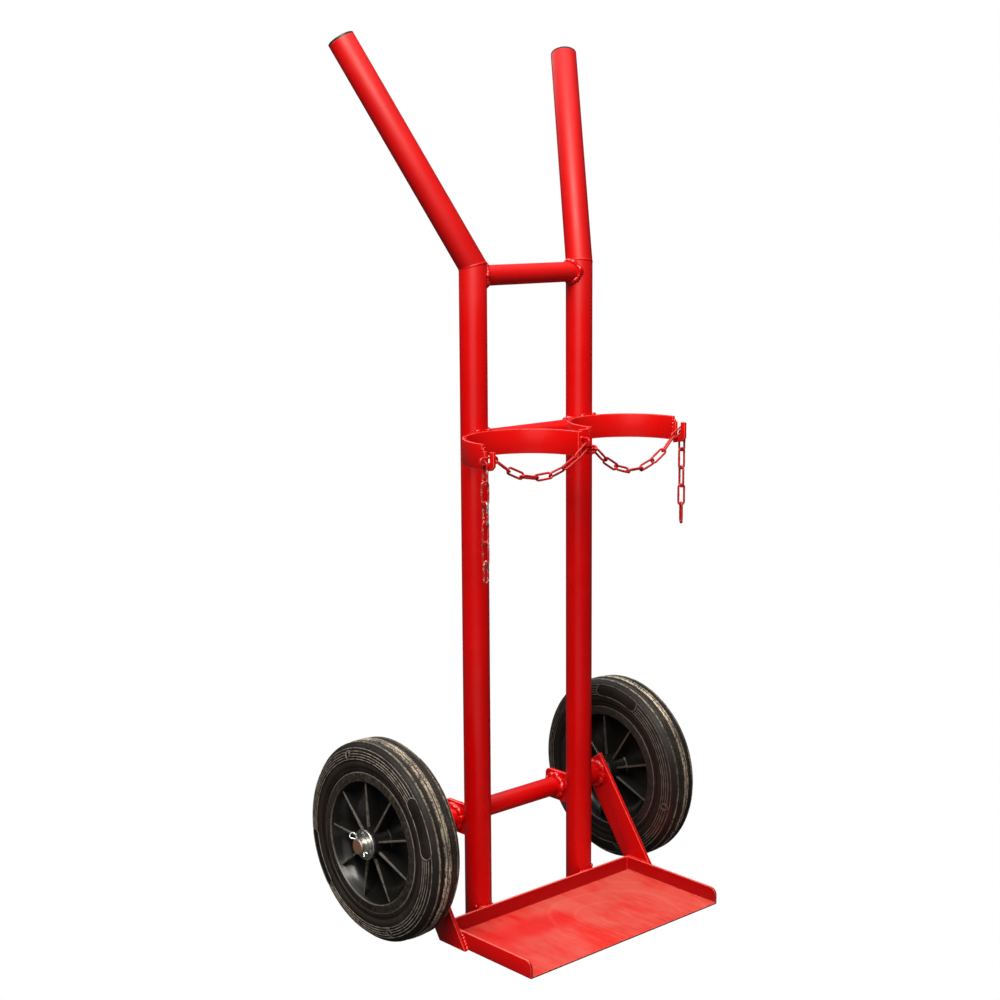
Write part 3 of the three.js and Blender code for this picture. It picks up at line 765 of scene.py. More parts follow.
def _in_hole(corners, triangle, holes):
    middle = sum((Vector(corners[i]) for i in triangle), Vector((0, 0))) / len(triangle)
    return any((middle - Vector((y, z))).length < radius for y, z, radius in holes)


def wobble(point, size, seed):
    """Smooth noise from -1 to 1 that changes over a distance of size millimetres."""
    return noise.noise(Vector(point) / size + Vector((seed * 7.31, seed * 3.17, seed * 1.93)))


def resampled(path, step, closed=False):
    """The same line with its points evenly spaced."""
    path = np.asarray(path, float)
    if closed:
        path = np.vstack((path, path[:1]))
    lengths = np.concatenate(([0], np.cumsum(np.linalg.norm(np.diff(path, axis=0), axis=1))))
    count = max(3, round(lengths[-1] / step))
    at = np.linspace(0, lengths[-1], count + 1)
    even = np.column_stack([np.interp(at, lengths, path[:, k]) for k in range(3)])
    return even[:-1] if closed else even


# distance between the lumps of a weld bead, and between the points of its line
BEAD_PITCH = 4.2
BEAD_STEP = 0.7


def bead(path, radius, seed, closed=False, pitch=BEAD_PITCH):
    """A hand-made weld bead: lumps that overlap along the path, uneven in size and place."""
    line = resampled(path, BEAD_STEP, closed)
    along = np.arange(len(line)) * BEAD_STEP
    length = along[-1] + BEAD_STEP
    pulses = max(1, round(length / pitch))
    phase = math.pi * pulses * along / length
    radii = radius * (0.72 + 0.3 * np.abs(np.sin(phase)) ** 0.7)
    radii *= [1 + 0.34 * wobble(p, 1.4 * pitch, seed) for p in line]
    if not closed:
        ends = np.minimum(along + 0.4, length - along) / radius
        radii *= np.sqrt(np.clip(ends * (2 - np.clip(ends, 0, 1)), 0.02, 1))
    shift = [[0.35 * radius * wobble(p, 6.5, seed + k) for k in (1, 2, 3)] for p in line]
    skin = swept(line + np.array(shift), radii, sides=14, closed=closed)
    grain = np.array([[0.12 * radius * wobble(p, 2.6, seed + k) for k in (4, 5, 6)] for p in skin.points])
    return Shape(skin.points + grain, skin.faces)


def standing_bead(x, y, low, high, radius, seed):
    """A weld bead straight up from one height to another."""
    return bead([(x, y, low), (x, y, high)], radius, seed)


def blob(centre, radius, seed, stretch=(1, 1, 1)):
    """A lump of weld metal."""
    bm = bmesh.new()
    bmesh.ops.create_icosphere(bm, subdivisions=3, radius=1)
    points = np.array([v.co for v in bm.verts])
    faces = [[v.index for v in face.verts] for face in bm.faces]
    bm.free()
    points *= np.array([1 + 0.28 * wobble(p, 0.9, seed) for p in points])[:, None]
    return Shape(points * radius * np.array(stretch) + centre, faces)


def piece(name, shape, finish, body="frame", replaces=None, bevel=0.0, sharp=35, steps=2):
    """Makes an object from a shape, rounds its sharp edges, and lets it ride on a body."""
    bm = bmesh.new()
    corners = [bm.verts.new(Vector(p) * MM + Vector((0, UPRIGHT_PLANE_Y, 0))) for p in shape.points]
    for face in shape.faces:
        if len(set(face)) > 2:
            bm.faces.new([corners[i] for i in face])
    mesh = finish_mesh(bm, name, bevel, sharp, steps)
    show(name, mesh, finish, body, replaces)


def finish_mesh(bm, name, bevel, sharp, steps, folds=()):
    """The mesh with its folds (radius, test for edges, steps) and then its sharp edges rounded; the
    attribute "edge" marks the faces of the rounded sharp edges."""
    bmesh.ops.recalc_face_normals(bm, faces=bm.faces)
    edge_layer = bm.faces.layers.float.new("edge")
    for width, chosen, count in folds:
        edges = [e for e in bm.edges if e.is_valid and chosen(e)]
        bmesh.ops.bevel(bm, geom=edges, offset=width * MM, segments=count, profile=0.5,
                        affect="EDGES", clamp_overlap=True)
    if bevel:
        limit = math.radians(sharp)
        edges = [e for e in bm.edges if len(e.link_faces) == 2 and e.calc_face_angle(0) > limit]
        made = bmesh.ops.bevel(bm, geom=edges, offset=bevel * MM, segments=steps, profile=0.5,
                               affect="EDGES", clamp_overlap=True)
        for face in made["faces"]:
            face[edge_layer] = 1.0
    mesh = bpy.data.meshes.new(name)
    bm.to_mesh(mesh)
    bm.free()
    mesh.shade_smooth()
    mesh.set_sharp_from_angle(angle=math.radians(sharp))
    return mesh


def show(name, mesh, finish, body, replaces):
    """An object with the mesh and a finish, which rides on a body and stands for CAD nodes."""
    material, slot = FINISH[finish]
    mesh.materials.append(material)
    obj = bpy.data.objects.new(name, mesh)
    bpy.context.scene.collection.objects.link(obj)
    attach(obj, body)
    if replaces:
        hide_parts(*([replaces] if isinstance(replaces, str) else replaces))


def pair(name, shape, finish, bodies=("frame", "frame"), stands_for=None, **settings):
    """A piece on each side. The shape is the right-hand one, or a function that makes it for a
    side with x counted outwards."""
    for (side, sign), body in zip(SIDES, bodies):
        own = shape(side, sign) if callable(shape) else shape
        own = own if sign > 0 else own.mirrored()
        node = f"{stands_for}_{side}" if stands_for else None
        piece(f"{name}_{side}", own, finish, body, node, **settings)


# ---- uprights, handles and caps ----
def mitred_tube(start, direction, radius, wall, cuts, segments=80):
    """A tube from start along direction, whose ends lie in the two planes (point, normal) of cuts."""
    direction = unit(direction)
    side = unit(np.cross(direction, (0.0, 1.0, 0.02)))
    other = np.cross(direction, side)
    angles = once_round(segments)
    rings = []
    for r in (radius, radius - wall):
        rim = start + r * (np.outer(np.cos(angles), side) + np.outer(np.sin(angles), other))
        ends = []
        for point, normal in cuts:
            reach = ((np.array(point) - rim) @ normal) / (direction @ normal)
            ends.append(rim + reach[:, None] * direction)
        rings.append(ends)
    (outer_low, outer_high), (inner_low, inner_high) = rings
    return loft([outer_low, outer_high, inner_high, inner_low], closed=True)


# the right-hand upright and handle, and the ring of weld over their mitre
up = np.array((0.0, 0.0, 1.0))
mitre_point = np.array((UPRIGHT_X, 0.0, MITRE_Z))
handle_axis = unit(HANDLE_VECTOR)
handle_length = np.linalg.norm(HANDLE_VECTOR) - CAP_THICKNESS - GAP
mitre_normal = unit(up + handle_axis)
MITRE_WELD_R = 2.6
MITRE_WELD_DEPTH = 2.25


def make_uprights():
    """Tubes with a level foot and a mitred top."""
    foot = np.array((UPRIGHT_X, 0.0, 0.0))
    cuts = [(foot, up), (mitre_point - mitre_normal * GAP / 2, mitre_normal)]
    upright = mitred_tube(foot, up, UPRIGHT_R, UPRIGHT_WALL, cuts)
    pair("upright", upright, "red", stands_for="upright", bevel=0.5)


def make_handles():
    """Tubes with a mitred foot that lean outwards and back."""
    tip = mitre_point + handle_axis * handle_length
    cuts = [(mitre_point + mitre_normal * GAP / 2, mitre_normal), (tip, handle_axis)]
    handle = mitred_tube(mitre_point, handle_axis, UPRIGHT_R, UPRIGHT_WALL, cuts)
    pair("handle", handle, "red", stands_for="handle", bevel=0.5)


def make_mitre_welds():
    """A low ring of weld over the gap between each upright and its handle."""
    angles = once_round(72)
    x, y = (UPRIGHT_R - MITRE_WELD_DEPTH) * np.array((np.cos(angles), np.sin(angles)))
    z = -(x * mitre_normal[0] + y * mitre_normal[1]) / mitre_normal[2]
    seam = swept(np.column_stack((x, y, z)) + mitre_point, MITRE_WELD_R, sides=12, closed=True)
    pair("mitre_weld", seam, "red")


def make_handle_caps():
    """A plug inside the tube and a domed head over its end."""
    seat = handle_length + GAP
    plug = UPRIGHT_R - UPRIGHT_WALL - GAP
    inside = [(-CAP_PLUG, 0), (-CAP_PLUG, plug - 1.2), (3 - CAP_PLUG, plug), (0, plug)]
    head = [(0, 0), (1.2, 0), (2.0, 0.4), (2.5, 1.2), (2.8, 2.6), (2.95, 5), (CAP_THICKNESS, UPRIGHT_R)]
    profile = inside + [(x, UPRIGHT_R - depth) for x, depth in head]
    side = unit(np.cross(handle_axis, (0.0, 1.0, 0.0)))
    columns = (handle_axis, side, np.cross(handle_axis, side))
    cap = revolved([(seat + x, radius) for x, radius in profile], 72).turned(columns)
    pair("handle_cap", cap.moved(*mitre_point), "plastic", stands_for="handle_cap", sharp=45)


# ---- crossbars ----
def crossbar(z):
    """A tube between the uprights whose ends are coped to them."""
    angles = once_round(72)
    rings = []
    for radius in (CROSSBAR_R, CROSSBAR_R - CROSSBAR_WALL):
        y = radius * np.cos(angles)
        reach = UPRIGHT_X - np.sqrt((UPRIGHT_R + GAP) ** 2 - y**2)
        height = z + radius * np.sin(angles)
        rings.append([np.column_stack((sign * reach, y, height)) for sign in (-1, 1)])
    (outer_left, outer_right), (inner_left, inner_right) = rings
    return loft([outer_left, outer_right, inner_right, inner_left], closed=True)


def saddle(z, radius, spread=1.0):
    """The line where a crossbar meets the right-hand upright, a little way off both surfaces."""
    angles = once_round(72)
    y = (radius + spread) * np.cos(angles)
    x = UPRIGHT_X - np.sqrt((UPRIGHT_R + spread) ** 2 - np.clip(y, -UPRIGHT_R, UPRIGHT_R) ** 2)
    return np.column_stack((x, y, z + (radius + spread) * np.sin(angles)))


def make_crossbars():
    """The two crossbars, welded in lumps on the left and more smoothly on the right."""
    # the top crossbar gets the lighter copy of the red: painted light
    piece("top_crossbar", crossbar(TOP_CROSSBAR_Z), "red_lit_copy", replaces="top_crossbar")
    piece("cradle_crossbar", crossbar(CRADLE_CROSSBAR_Z), "red", replaces="cradle_crossbar")
    for name, z, seed in (("top", TOP_CROSSBAR_Z, 1), ("cradle", CRADLE_CROSSBAR_Z, 2)):
        lumpy = bead(saddle(z, CROSSBAR_R), 3.0, closed=True, seed=seed)
        smooth = bead(saddle(z, CROSSBAR_R, 0.4), 4.3, closed=True, seed=seed, pitch=16)
        pair(f"{name}_crossbar_weld", lambda side, sign: smooth if sign > 0 else lumpy, "weld")


# ---- toe plate ----
def make_toe_plate():
    """The folded sheet: its bends are rounded and its cut edges slightly broken."""
    bm = bmesh.new()
    bm.from_mesh(frame["nodes"]["toe_plate"].data)
    bmesh.ops.remove_doubles(bm, verts=bm.verts, dist=1e-6)
    bmesh.ops.dissolve_limit(bm, angle_limit=math.radians(1), verts=bm.verts, edges=bm.edges)
    back = TOE_BACK_Y * MM + UPRIGHT_PLANE_Y

    def fold(depth):
        """A test for the edges of the three bends, depth inside the sheet's outer face."""

        def chosen(edge):
            corners = [v.co for v in edge.verts]
            level = all(abs(c.z - depth) < NEAR for c in corners)
            at_side = all(abs(abs(c.x) - TOE_HALF * MM + depth) < NEAR for c in corners)
            return level and (at_side or all(abs(c.y - back + depth) < NEAR for c in corners))

        return chosen

    folds = ((TOE_BEND_R, fold(0), 4), (TOE_BEND_R / 2, fold(TOE_SHEET * MM), 3))
    mesh = finish_mesh(bm, "toe_plate", 0.5, 35, 2, folds)
    show("toe_plate", mesh, "toe", "frame", "toe_plate")


def toe_corner_weld():
    """Beads outside and inside the plate's folded corner, and a lump on its top."""
    x, y, top = TOE_HALF - 0.6, TOE_BACK_Y - 0.6, TOE_FLANGE
    outer = standing_bead(x, y, 2.5, top - 0.5, 1.5, 3)
    inner = standing_bead(x - TOE_SHEET, y - TOE_SHEET, 4, top - 1, 1.2, 4)
    return together((outer, inner, blob((x - 1.2, y - 1.2, top - 0.6), 2.5, 5, (1, 1, 0.7))))


def upright_foot_weld():
    """Beads where the plate's flange meets the upright on both sides and along its top."""
    y = -math.sqrt(UPRIGHT_R**2 - FOOT_WELD_ASIDE**2) - 0.8
    shapes = []
    for x, seed in ((UPRIGHT_X - FOOT_WELD_ASIDE, 6), (UPRIGHT_X + FOOT_WELD_ASIDE, 7)):
        shapes.append(standing_bead(x, y, 1.5, TOE_FLANGE - 1, 2.6, seed))
    across = []
    for a, b in arc(0, 0, UPRIGHT_R + 0.6, -38, 38, 14):
        across.append((UPRIGHT_X + b, max(-a, TOE_BACK_Y - 0.6), TOE_FLANGE - 0.4))
    shapes.append(bead(across, 1.5, seed=8))
    shapes.append(blob((UPRIGHT_X + 13.5, -10.5, TOE_FLANGE + 0.5), 2.3, 9))
    return together(shapes)


def make_toe_welds():
    pair("toe_corner_weld", toe_corner_weld(), "weld")
    pair("upright_foot_weld", upright_foot_weld(), "weld")


# ---- axle tube, brackets and struts ----
def strut_edge(side, face):
    """Top and foot of one long edge of a strut, as (y, z); face is -1 in front and 1 behind."""
    angle = STRUT_ANGLES[side]
    down = np.array((-math.sin(angle), -math.cos(angle)))
    across = np.array((math.cos(angle), -math.sin(angle)))
    top = np.array((AXLE_Y, AXLE_Z)) + (-down + face * across) * STRUT_WIDTH / 2
    foot = top - down * top[1] / down[1]
    return top, foot


def strut(side, sign):
    """A flat bar from the axle rod down to the floor beside the toe plate."""
    (front_top, front_foot), (rear_top, rear_foot) = strut_edge(side, -1), strut_edge(side, 1)
    outline = [front_foot, rear_foot, rear_top, front_top]
    return plate(outline, STRUT_INNER_X, STRUT_THICKNESS, [(AXLE_Y, AXLE_Z, AXLE_R + GAP)])


def make_axle_tube():
    inner = CROSSBAR_R - CROSSBAR_WALL
    corners = [(-TOE_HALF, CROSSBAR_R), (TOE_HALF, CROSSBAR_R), (TOE_HALF, inner), (-TOE_HALF, inner)]
    rings = [ring_path(x, radius, 72) for x, radius in corners]
    piece("axle_tube", loft(rings, closed=True), "red", replaces="axle_tube", bevel=0.4)


def make_axle_brackets():
    """Plates behind the uprights with one rounded corner, through which the axle tube runs."""
    front = UPRIGHT_R + GAP
    r = BRACKET_CORNER_R
    outline = [(front, BRACKET_LOW), (BRACKET_BACK, BRACKET_LOW)]
    outline += arc(BRACKET_BACK - r, BRACKET_TOP - r, r, 0, 90, 12)
    outline.append((front, BRACKET_TOP))
    hole = (AXLE_Y, AXLE_Z, CROSSBAR_R + GAP)
    shape = plate(outline, BRACKET_X - BRACKET_THICKNESS / 2, BRACKET_THICKNESS, [hole])
    pair("axle_bracket", shape, "red", stands_for="axle_bracket", bevel=0.5)


def make_struts():
    pair("strut", strut, "red", stands_for="strut", bevel=0.6)


def ring_path(x, radius, count=64):
    """Points round the axle at one place along it."""
    angles = once_round(count)
    y = AXLE_Y + radius * np.cos(angles)
    return np.column_stack((np.full(count, x), y, AXLE_Z + radius * np.sin(angles)))


def strut_foot_weld(side, sign):
    """Beads down the strut's two edges beside the toe plate's flange, and along the flange's top."""
    lean = math.tan(STRUT_ANGLES[side])
    shapes = []
    for face, seed in ((-1, 16), (1, 17)):
        foot_y = strut_edge(side, face)[1][0] + face * 0.8
        line = [(TOE_HALF + 0.6, foot_y + z * lean, z) for z in (1.5, TOE_FLANGE - 0.5)]
        if line[-1][1] < TOE_BACK_Y:
            shapes.append(bead(line, 2.3, seed=seed))
    start = strut_edge(side, -1)[1][0] + TOE_FLANGE * lean
    top = [(STRUT_INNER_X - 0.2, y, TOE_FLANGE + 0.1) for y in (start, TOE_BACK_Y - 1)]
    shapes.append(bead(top, 1.5, seed=18))
    return together(shapes)


def bracket_upright_weld():
    """Beads up both sides of the bracket's edge on the upright."""
    shapes = []
    for sign, seed in ((-1, 14), (1, 15)):
        x = BRACKET_X + sign * (BRACKET_THICKNESS / 2 + 0.5)
        shapes.append(standing_bead(x, UPRIGHT_R + 0.2, BRACKET_LOW + 1, BRACKET_TOP - 1, 2.4, seed))
    return together(shapes)


def make_undercarriage_welds():
    """Rings round the axle tube at the brackets and struts, and beads at the flat joints."""
    reach = BRACKET_THICKNESS / 2 + 1.4
    for name, x, radius, seed in (
        ("bracket_inner_weld", BRACKET_X - reach, 4.6, 11),
        ("bracket_outer_weld", BRACKET_X + reach, 4.8, 12),
        ("strut_ring_weld", STRUT_INNER_X - 1.6, 4.6, 13),
    ):
        ring = bead(ring_path(x, CROSSBAR_R + 1.0), radius, closed=True, seed=seed, pitch=9)
        pair(name, ring, "weld")
    pair("bracket_upright_weld", bracket_upright_weld(), "weld")
    pair("strut_foot_weld", strut_foot_weld, "weld")


# ---- axle rod, washers and cotter pins ----
AXLE_CHAMFER = 1.5
COTTER_X = 242.7
COTTER_ANGLE = math.radians(45)
COTTER_WIRE_R = 1.0
COTTER_RING_R = 3.7
COTTER_RING_AT = 15.2
COTTER_LEG = 14.5
COTTER_LEAN = 4.0
COTTER_LEAN_FROM = 8
# half the opening of the ring, in degrees
COTTER_MOUTH = 34
# how far each pin is rolled about its own length, in degrees, with x counted outwards
COTTER_ROLLS = {"left": -44, "right": 40}


def make_axle_rod():
    """A bar with a small chamfer at each end."""
    body, neck = AXLE_HALF - AXLE_CHAMFER, AXLE_R - AXLE_CHAMFER
    profile = [(-AXLE_HALF, 0), (-AXLE_HALF, neck), (-body, AXLE_R), (body, AXLE_R), (AXLE_HALF, neck)]
    rod = revolved([*profile, (AXLE_HALF, 0)], 72).moved(0, AXLE_Y, AXLE_Z)
    piece("axle_rod", rod, "axle", replaces="axle_rod", sharp=25)


def make_washers():
    """Pressed washers, rounder on their outer face."""
    bore = AXLE_R + GAP
    for name in ("inner_washer", "outer_washer"):
        low, high = span(f"{name}_right")
        outer = (high[2] - low[2]) / 2
        x0, x1 = low[0], high[0]
        back = [(x0, bore), (x0, outer - 0.4), (x0 + 0.4, outer)]
        front = [(x1 - 0.9, outer), (x1 - 0.25, outer - 0.5), (x1, outer - 1.4)]
        profile = back + front + [(x1, bore + 0.5), (x1 - 0.5, bore)]
        shape = revolved(profile, 72).moved(0, AXLE_Y, AXLE_Z)
        pair(name, shape, "zinc", stands_for=name, sharp=30)


def smoothed(path, reach=5):
    """The line with each point averaged with its neighbours, and its ends kept."""
    kernel = np.ones(reach) / reach
    middle = np.column_stack([np.convolve(path[:, k], kernel, "valid") for k in range(3)])
    return np.vstack((path[:1], middle, path[-1:]))


def cotter_pin(side, sign):
    """A split pin: one wire down the axle's hole, round in a ring and back, its two tips spread;
    the ring leans outwards."""
    r, leg, top = COTTER_WIRE_R, COTTER_LEG, COTTER_RING_AT
    neck = top - COTTER_RING_R - 1.0
    ring = arc(top, 0, COTTER_RING_R, 180 + COTTER_MOUTH, 540 - COTTER_MOUTH, 30)
    leg_a = [(-leg, -2.6), (1.6 - leg, -1.9), (-10.6, -r), (0, -r), (neck, -r)]
    leg_b = [(neck, r), (0, r), (-10.2, r), (2.6 - leg, 2.0), (1.2 - leg, 2.9)]
    outwards = np.array((1, 0, 0))
    axis = np.array((0, math.cos(COTTER_ANGLE), math.sin(COTTER_ANGLE)))
    roll = math.radians(COTTER_ROLLS[side])
    across = math.cos(roll) * np.cross(outwards, axis) + math.sin(roll) * outwards
    path = []
    for a, b in leg_a + ring + leg_b:
        share = (a - COTTER_LEAN_FROM) / (top - COTTER_LEAN_FROM)
        path.append(a * axis + b * across + COTTER_LEAN * min(1, max(0, share)) * outwards)
    path = smoothed(resampled(path, 0.5))
    return swept(path, r, sides=14).moved(COTTER_X, AXLE_Y, AXLE_Z)


def make_cotters():
    pair("cotter_pin", cotter_pin, "zinc", stands_for="cotter_pin", sharp=60)


# ---- wheels ----
# half of the tyre's outline, as (distance from its mid plane, radius), from the rim to the middle
SIDEWALL = [
    (21.0, 82.3), (21.2, 88.4), (22.4, 88.5), (23.0, 88.9), (23.5, 90.0), (23.7, 91.2), (23.4, 92.4),
    (23.1, 93.2), (23.4, 94.2), (24.2, 95.4), (24.8, 97.0), (25.0, 98.8), (24.85, 100.4),
    (24.5, 101.4), (24.6, 102.4), (24.85, 103.2), (24.85, 104.2), (24.7, 107.3), (24.1, 110.3),
    (23.2, 113.5), (21.1, 117.5),
]
TREAD = [
    (19.2, 119.9), (17.6, 121.4), (16.0, 122.7), (15.0, 123.6), (14.2, 124.1), (13.2, 124.15),
    (12.4, 123.8), (11.0, 123.6), (9.2, 123.9), (8.4, 124.1), (7.6, 123.0), (6.2, 122.8),
    (5.7, 123.1), (5.3, 124.5), (4.6, 124.9), (3.2, 125.0), (2.6, 124.6), (2.0, 124.6), (1.4, 125.0),
]
TYRE_SEGMENTS = 192
RIB_RADII = (104.2, 107.4, 110.5, 113.7, 117.3)
RIB_PITCH_R = 110.4
RIB_WIRE_R = 0.68
PANEL_HALF = 7.6
PANEL_SPAN = 39
MEDALLION_R = 5.0
MEDALLION_FROM_PANEL = 105


def wall_x(radius):
    """How far the sidewall stands out at a radius."""
    places = [point for point in SIDEWALL if point[1] > 103]
    return float(np.interp(radius, [r for _, r in places], [x for x, _ in places])) + 0.1


def on_wall(radius, degrees):
    """A point of the sidewall."""
    angle = math.radians(degrees)
    return (wall_x(radius), -radius * math.cos(angle), radius * math.sin(angle))


def wall_line(places, closed=False, wire=RIB_WIRE_R):
    """A raised line on the sidewall through (radius, degrees) places."""
    radii = np.full(len(places), wire)
    if not closed:
        radii[0] = radii[-1] = wire * 0.4
    points = [on_wall(r, a) for r, a in places]
    return swept(points, radii, sides=6, closed=closed, flat=0.8, up=(1, 0, 0))


def wall_arc(radius, start, end):
    steps = max(4, round(abs(end - start) / 1.6))
    return wall_line([(radius, a) for a in np.linspace(start, end, steps + 1)])


def panel(low, high):
    """The outline of a blank round-ended panel whose straight part runs from low to high."""
    turns = math.degrees(PANEL_HALF / RIB_PITCH_R)
    line = [(RIB_PITCH_R + PANEL_HALF, a) for a in np.linspace(low, high, 24)]
    for b in np.radians(np.linspace(90, -90, 14)[1:-1]):
        line.append((RIB_PITCH_R + PANEL_HALF * math.sin(b), high + turns * math.cos(b)))
    line += [(RIB_PITCH_R - PANEL_HALF, a) for a in np.linspace(high, low, 24)]
    for b in np.radians(np.linspace(-90, 90, 14)[1:-1]):
        line.append((RIB_PITCH_R + PANEL_HALF * math.sin(b), low - turns * math.cos(b)))
    return wall_line(line, closed=True)


def medallion(degrees):
    """Two raised rings round a point of the sidewall."""
    rings = []
    for radius in (MEDALLION_R, MEDALLION_R - 1.7):
        places = []
        for t in np.linspace(0, 2 * math.pi, 33)[:-1]:
            along = math.degrees(radius * math.cos(t) / RIB_PITCH_R)
            places.append((RIB_PITCH_R + radius * math.sin(t), degrees + along))
        rings.append(wall_line(places, closed=True, wire=0.42))
    return together(rings)


def marks(start):
    """One sidewall's raised marks, twice round: a blank panel, then five ribs that a round
    medallion breaks."""
    half = math.degrees(PANEL_HALF / RIB_PITCH_R)
    shapes = []
    for turn in (start, start + 180):
        low, high = turn + half, turn + PANEL_SPAN - half
        middle = turn + MEDALLION_FROM_PANEL
        shapes.append(panel(low, high))
        shapes.append(medallion(middle))
        for radius in RIB_RADII:
            lean = min(1, abs(radius - RIB_PITCH_R) / PANEL_HALF)
            end_gap = math.degrees((PANEL_HALF * math.sqrt(1 - lean**2) + 1.2) / radius)
            reach = math.sqrt(max(0, (MEDALLION_R + 0.8) ** 2 - (radius - RIB_PITCH_R) ** 2))
            gap = math.degrees(reach / radius)
            begin = high + end_gap
            finish = low - end_gap + 180
            if gap < 0.1:
                shapes.append(wall_arc(radius, begin, finish))
            else:
                shapes.append(wall_arc(radius, begin, middle - gap))
                shapes.append(wall_arc(radius, middle + gap, finish))
    return together(shapes)


# where the panels start on the outer and inner side of each wheel, in degrees
PANEL_START = {"left": (5, 31), "right": (130, 61)}


def on_wheel(shape):
    """The shape moved from the origin to the middle of the right-hand wheel."""
    return shape.moved(WHEEL_X, AXLE_Y, AXLE_Z)


def tyre_marks(side, sign):
    outer, inner = PANEL_START[side]
    return on_wheel(marks(outer) + marks(inner).mirrored())


def make_tyres():
    half = SIDEWALL + TREAD
    skin = on_wheel(revolved(half + mirrored_profile(half), TYRE_SEGMENTS))
    pair("tyre", skin, "rubber", WHEELS, "tyre", sharp=40)
    pair("tyre_marks", tyre_marks, "rubber_worn_and_highlit", WHEELS, sharp=40)


RIB_COUNT = 9
RIB_HALF = 1.3
RIB_PHASE = 3
# how far a rib's free edge stands out at the radius where the rib starts and where it ends
RIB_ENDS = ((17.5, 23.2), (75.5, 20.3))
HUB_R = 19
# half of a wheel centre's outline from the tyre over the rim, the bowl and the web to the hub
RIM = [
    (21.2, 82.0), (21.4, 87.9), (22.2, 88.1), (22.7, 87.6), (23.0, 86.4), (23.2, 84.6), (23.35, 84.2),
    (23.9, 79.2), (24.1, 78.2), (24.0, 77.3), (23.5, 76.7), (22.5, 76.3),
]
BOWL = [
    (20.0, 75.1), (16.0, 73.4), (12.0, 71.3), (8.5, 68.8), (5.5, 65.6), (3.4, 61.8), (2.3, 57.5),
]
WEB = [
    (2.0, 53.0), (2.0, 30.0), (2.3, 24.5), (3.0, 21.0), (4.5, HUB_R + 0.4), (8.0, HUB_R),
]


def wheel_rib(index, face):
    """A radial web from the hub to the barrel whose free edge slopes inwards towards the rim."""
    rings = []
    for radius, out in RIB_ENDS:
        side = [(1.0, RIB_HALF + 0.5), (out - 0.5, RIB_HALF), (out - 0.12, RIB_HALF - 0.35)]
        side.append((out, RIB_HALF - 0.9))
        section = [(x, -w) for x, w in side] + side[::-1]
        rings.append(np.array([(face * x, w, radius) for x, w in section]))
    turn = math.radians(RIB_PHASE + 360 * index / RIB_COUNT)
    columns = ((1, 0, 0), (0, -math.sin(turn), math.cos(turn)), (0, math.cos(turn), math.sin(turn)))
    return loft(rings).turned(columns)


def make_wheel_centres():
    half = RIM + BOWL + WEB
    bore = AXLE_R + GAP
    hub = []
    for end, inwards in ((HUB_OUTER, -1), (HUB_INNER, 1)):
        nose = [(end + 0.8 * inwards, HUB_R), (end, HUB_R - 0.8), (end, bore + 0.5)]
        nose.append((end + 0.5 * inwards, bore))
        hub += nose if inwards < 0 else nose[::-1]
    shape = revolved(half + hub + mirrored_profile(half), 144)
    for face in (1, -1):
        shape = shape + together(wheel_rib(i, face) for i in range(RIB_COUNT))
    pair("wheel_centre", on_wheel(shape), "wheel", WHEELS, "wheel_centre", sharp=30)


# ---- bottle bands, catches and eyes ----
def band_arc(side, sign):
    """Middle point, radius and half angle of a band, and its lower and upper edge."""
    low, high = half_span(f"band_{side}", sign)
    radius, degrees = BAND_BENDS[side]
    return (high[0] - radius, high[1] - radius), radius, math.radians(degrees), low[2], high[2]


def band(side, sign):
    """A flat bar bent to the arc of a gas bottle."""
    centre, radius, half, bottom, top = band_arc(side, sign)
    rings = []
    for a in np.linspace(math.pi / 2 - half, math.pi / 2 + half, 97):
        way = np.array((math.cos(a), math.sin(a)))
        outer = np.array(centre) + radius * way
        inner = outer - BAND_THICKNESS * way
        rings.append(np.array([(*outer, bottom), (*outer, top), (*inner, top), (*inner, bottom)]))
    return loft(rings)


def make_bands():
    pair("band", band, "red_lit_copy", stands_for="band", bevel=0.55)
    low, high = span("band_join_plate")
    corners = [(low[1], low[2]), (high[1], low[2]), (high[1], high[2]), (low[1], high[2])]
    join = plate(corners, low[0], high[0] - low[0])
    piece("band_join_plate", join, "red_lit_copy", replaces="band_join_plate", bevel=0.5)


def band_upright_weld(side, sign):
    """Beads down both sides of the line where a band touches its upright."""
    centre, radius, _, bottom, top = band_arc(side, sign)
    shapes = []
    for x, seed in ((UPRIGHT_X - 9.5, 21), (UPRIGHT_X + 8.5, 22)):
        band_y = centre[1] + math.sqrt(radius**2 - (x - centre[0]) ** 2)
        tube_y = -math.sqrt(UPRIGHT_R**2 - (x - UPRIGHT_X) ** 2)
        shapes.append(standing_bead(x, (band_y + tube_y) / 2, bottom + 1.5, top - 1, 3.0, seed))
        shapes.append(blob((x, band_y + 0.8, top - 0.2), 3.6, seed, (1.2, 0.9, 0.9)))
    return together(shapes)


def join_seam_weld(side, sign):
    """A thin bead in front of the join plate's edge and a thicker one behind it."""
    low, high = band_arc(side, sign)[3:]
    front = standing_bead(JOIN_HALF + 0.3, BAND_END_Y - 0.2, low + 1, high - 1, 1.1, 23)
    behind = BAND_END_Y + BAND_THICKNESS + 0.4
    return front + standing_bead(JOIN_HALF + 0.6, behind, low + 1, high - 1, 2.0, 24)


# loose drops of weld metal round the top of a catch: offset from its top rear corner, and radius
SPATTER = (
    (0.4, 2.6, 4.4, 1.3), (0.6, 5.2, 2.2, 0.8), (-1.0, -1.6, 3.4, 1.0), (1.0, 3.8, -3.0, 0.8),
    (1.0, 6.5, -8.5, 0.7), (1.0, 2.6, 1.2, 0.9), (0.8, 0.4, 6.0, 0.8),
)


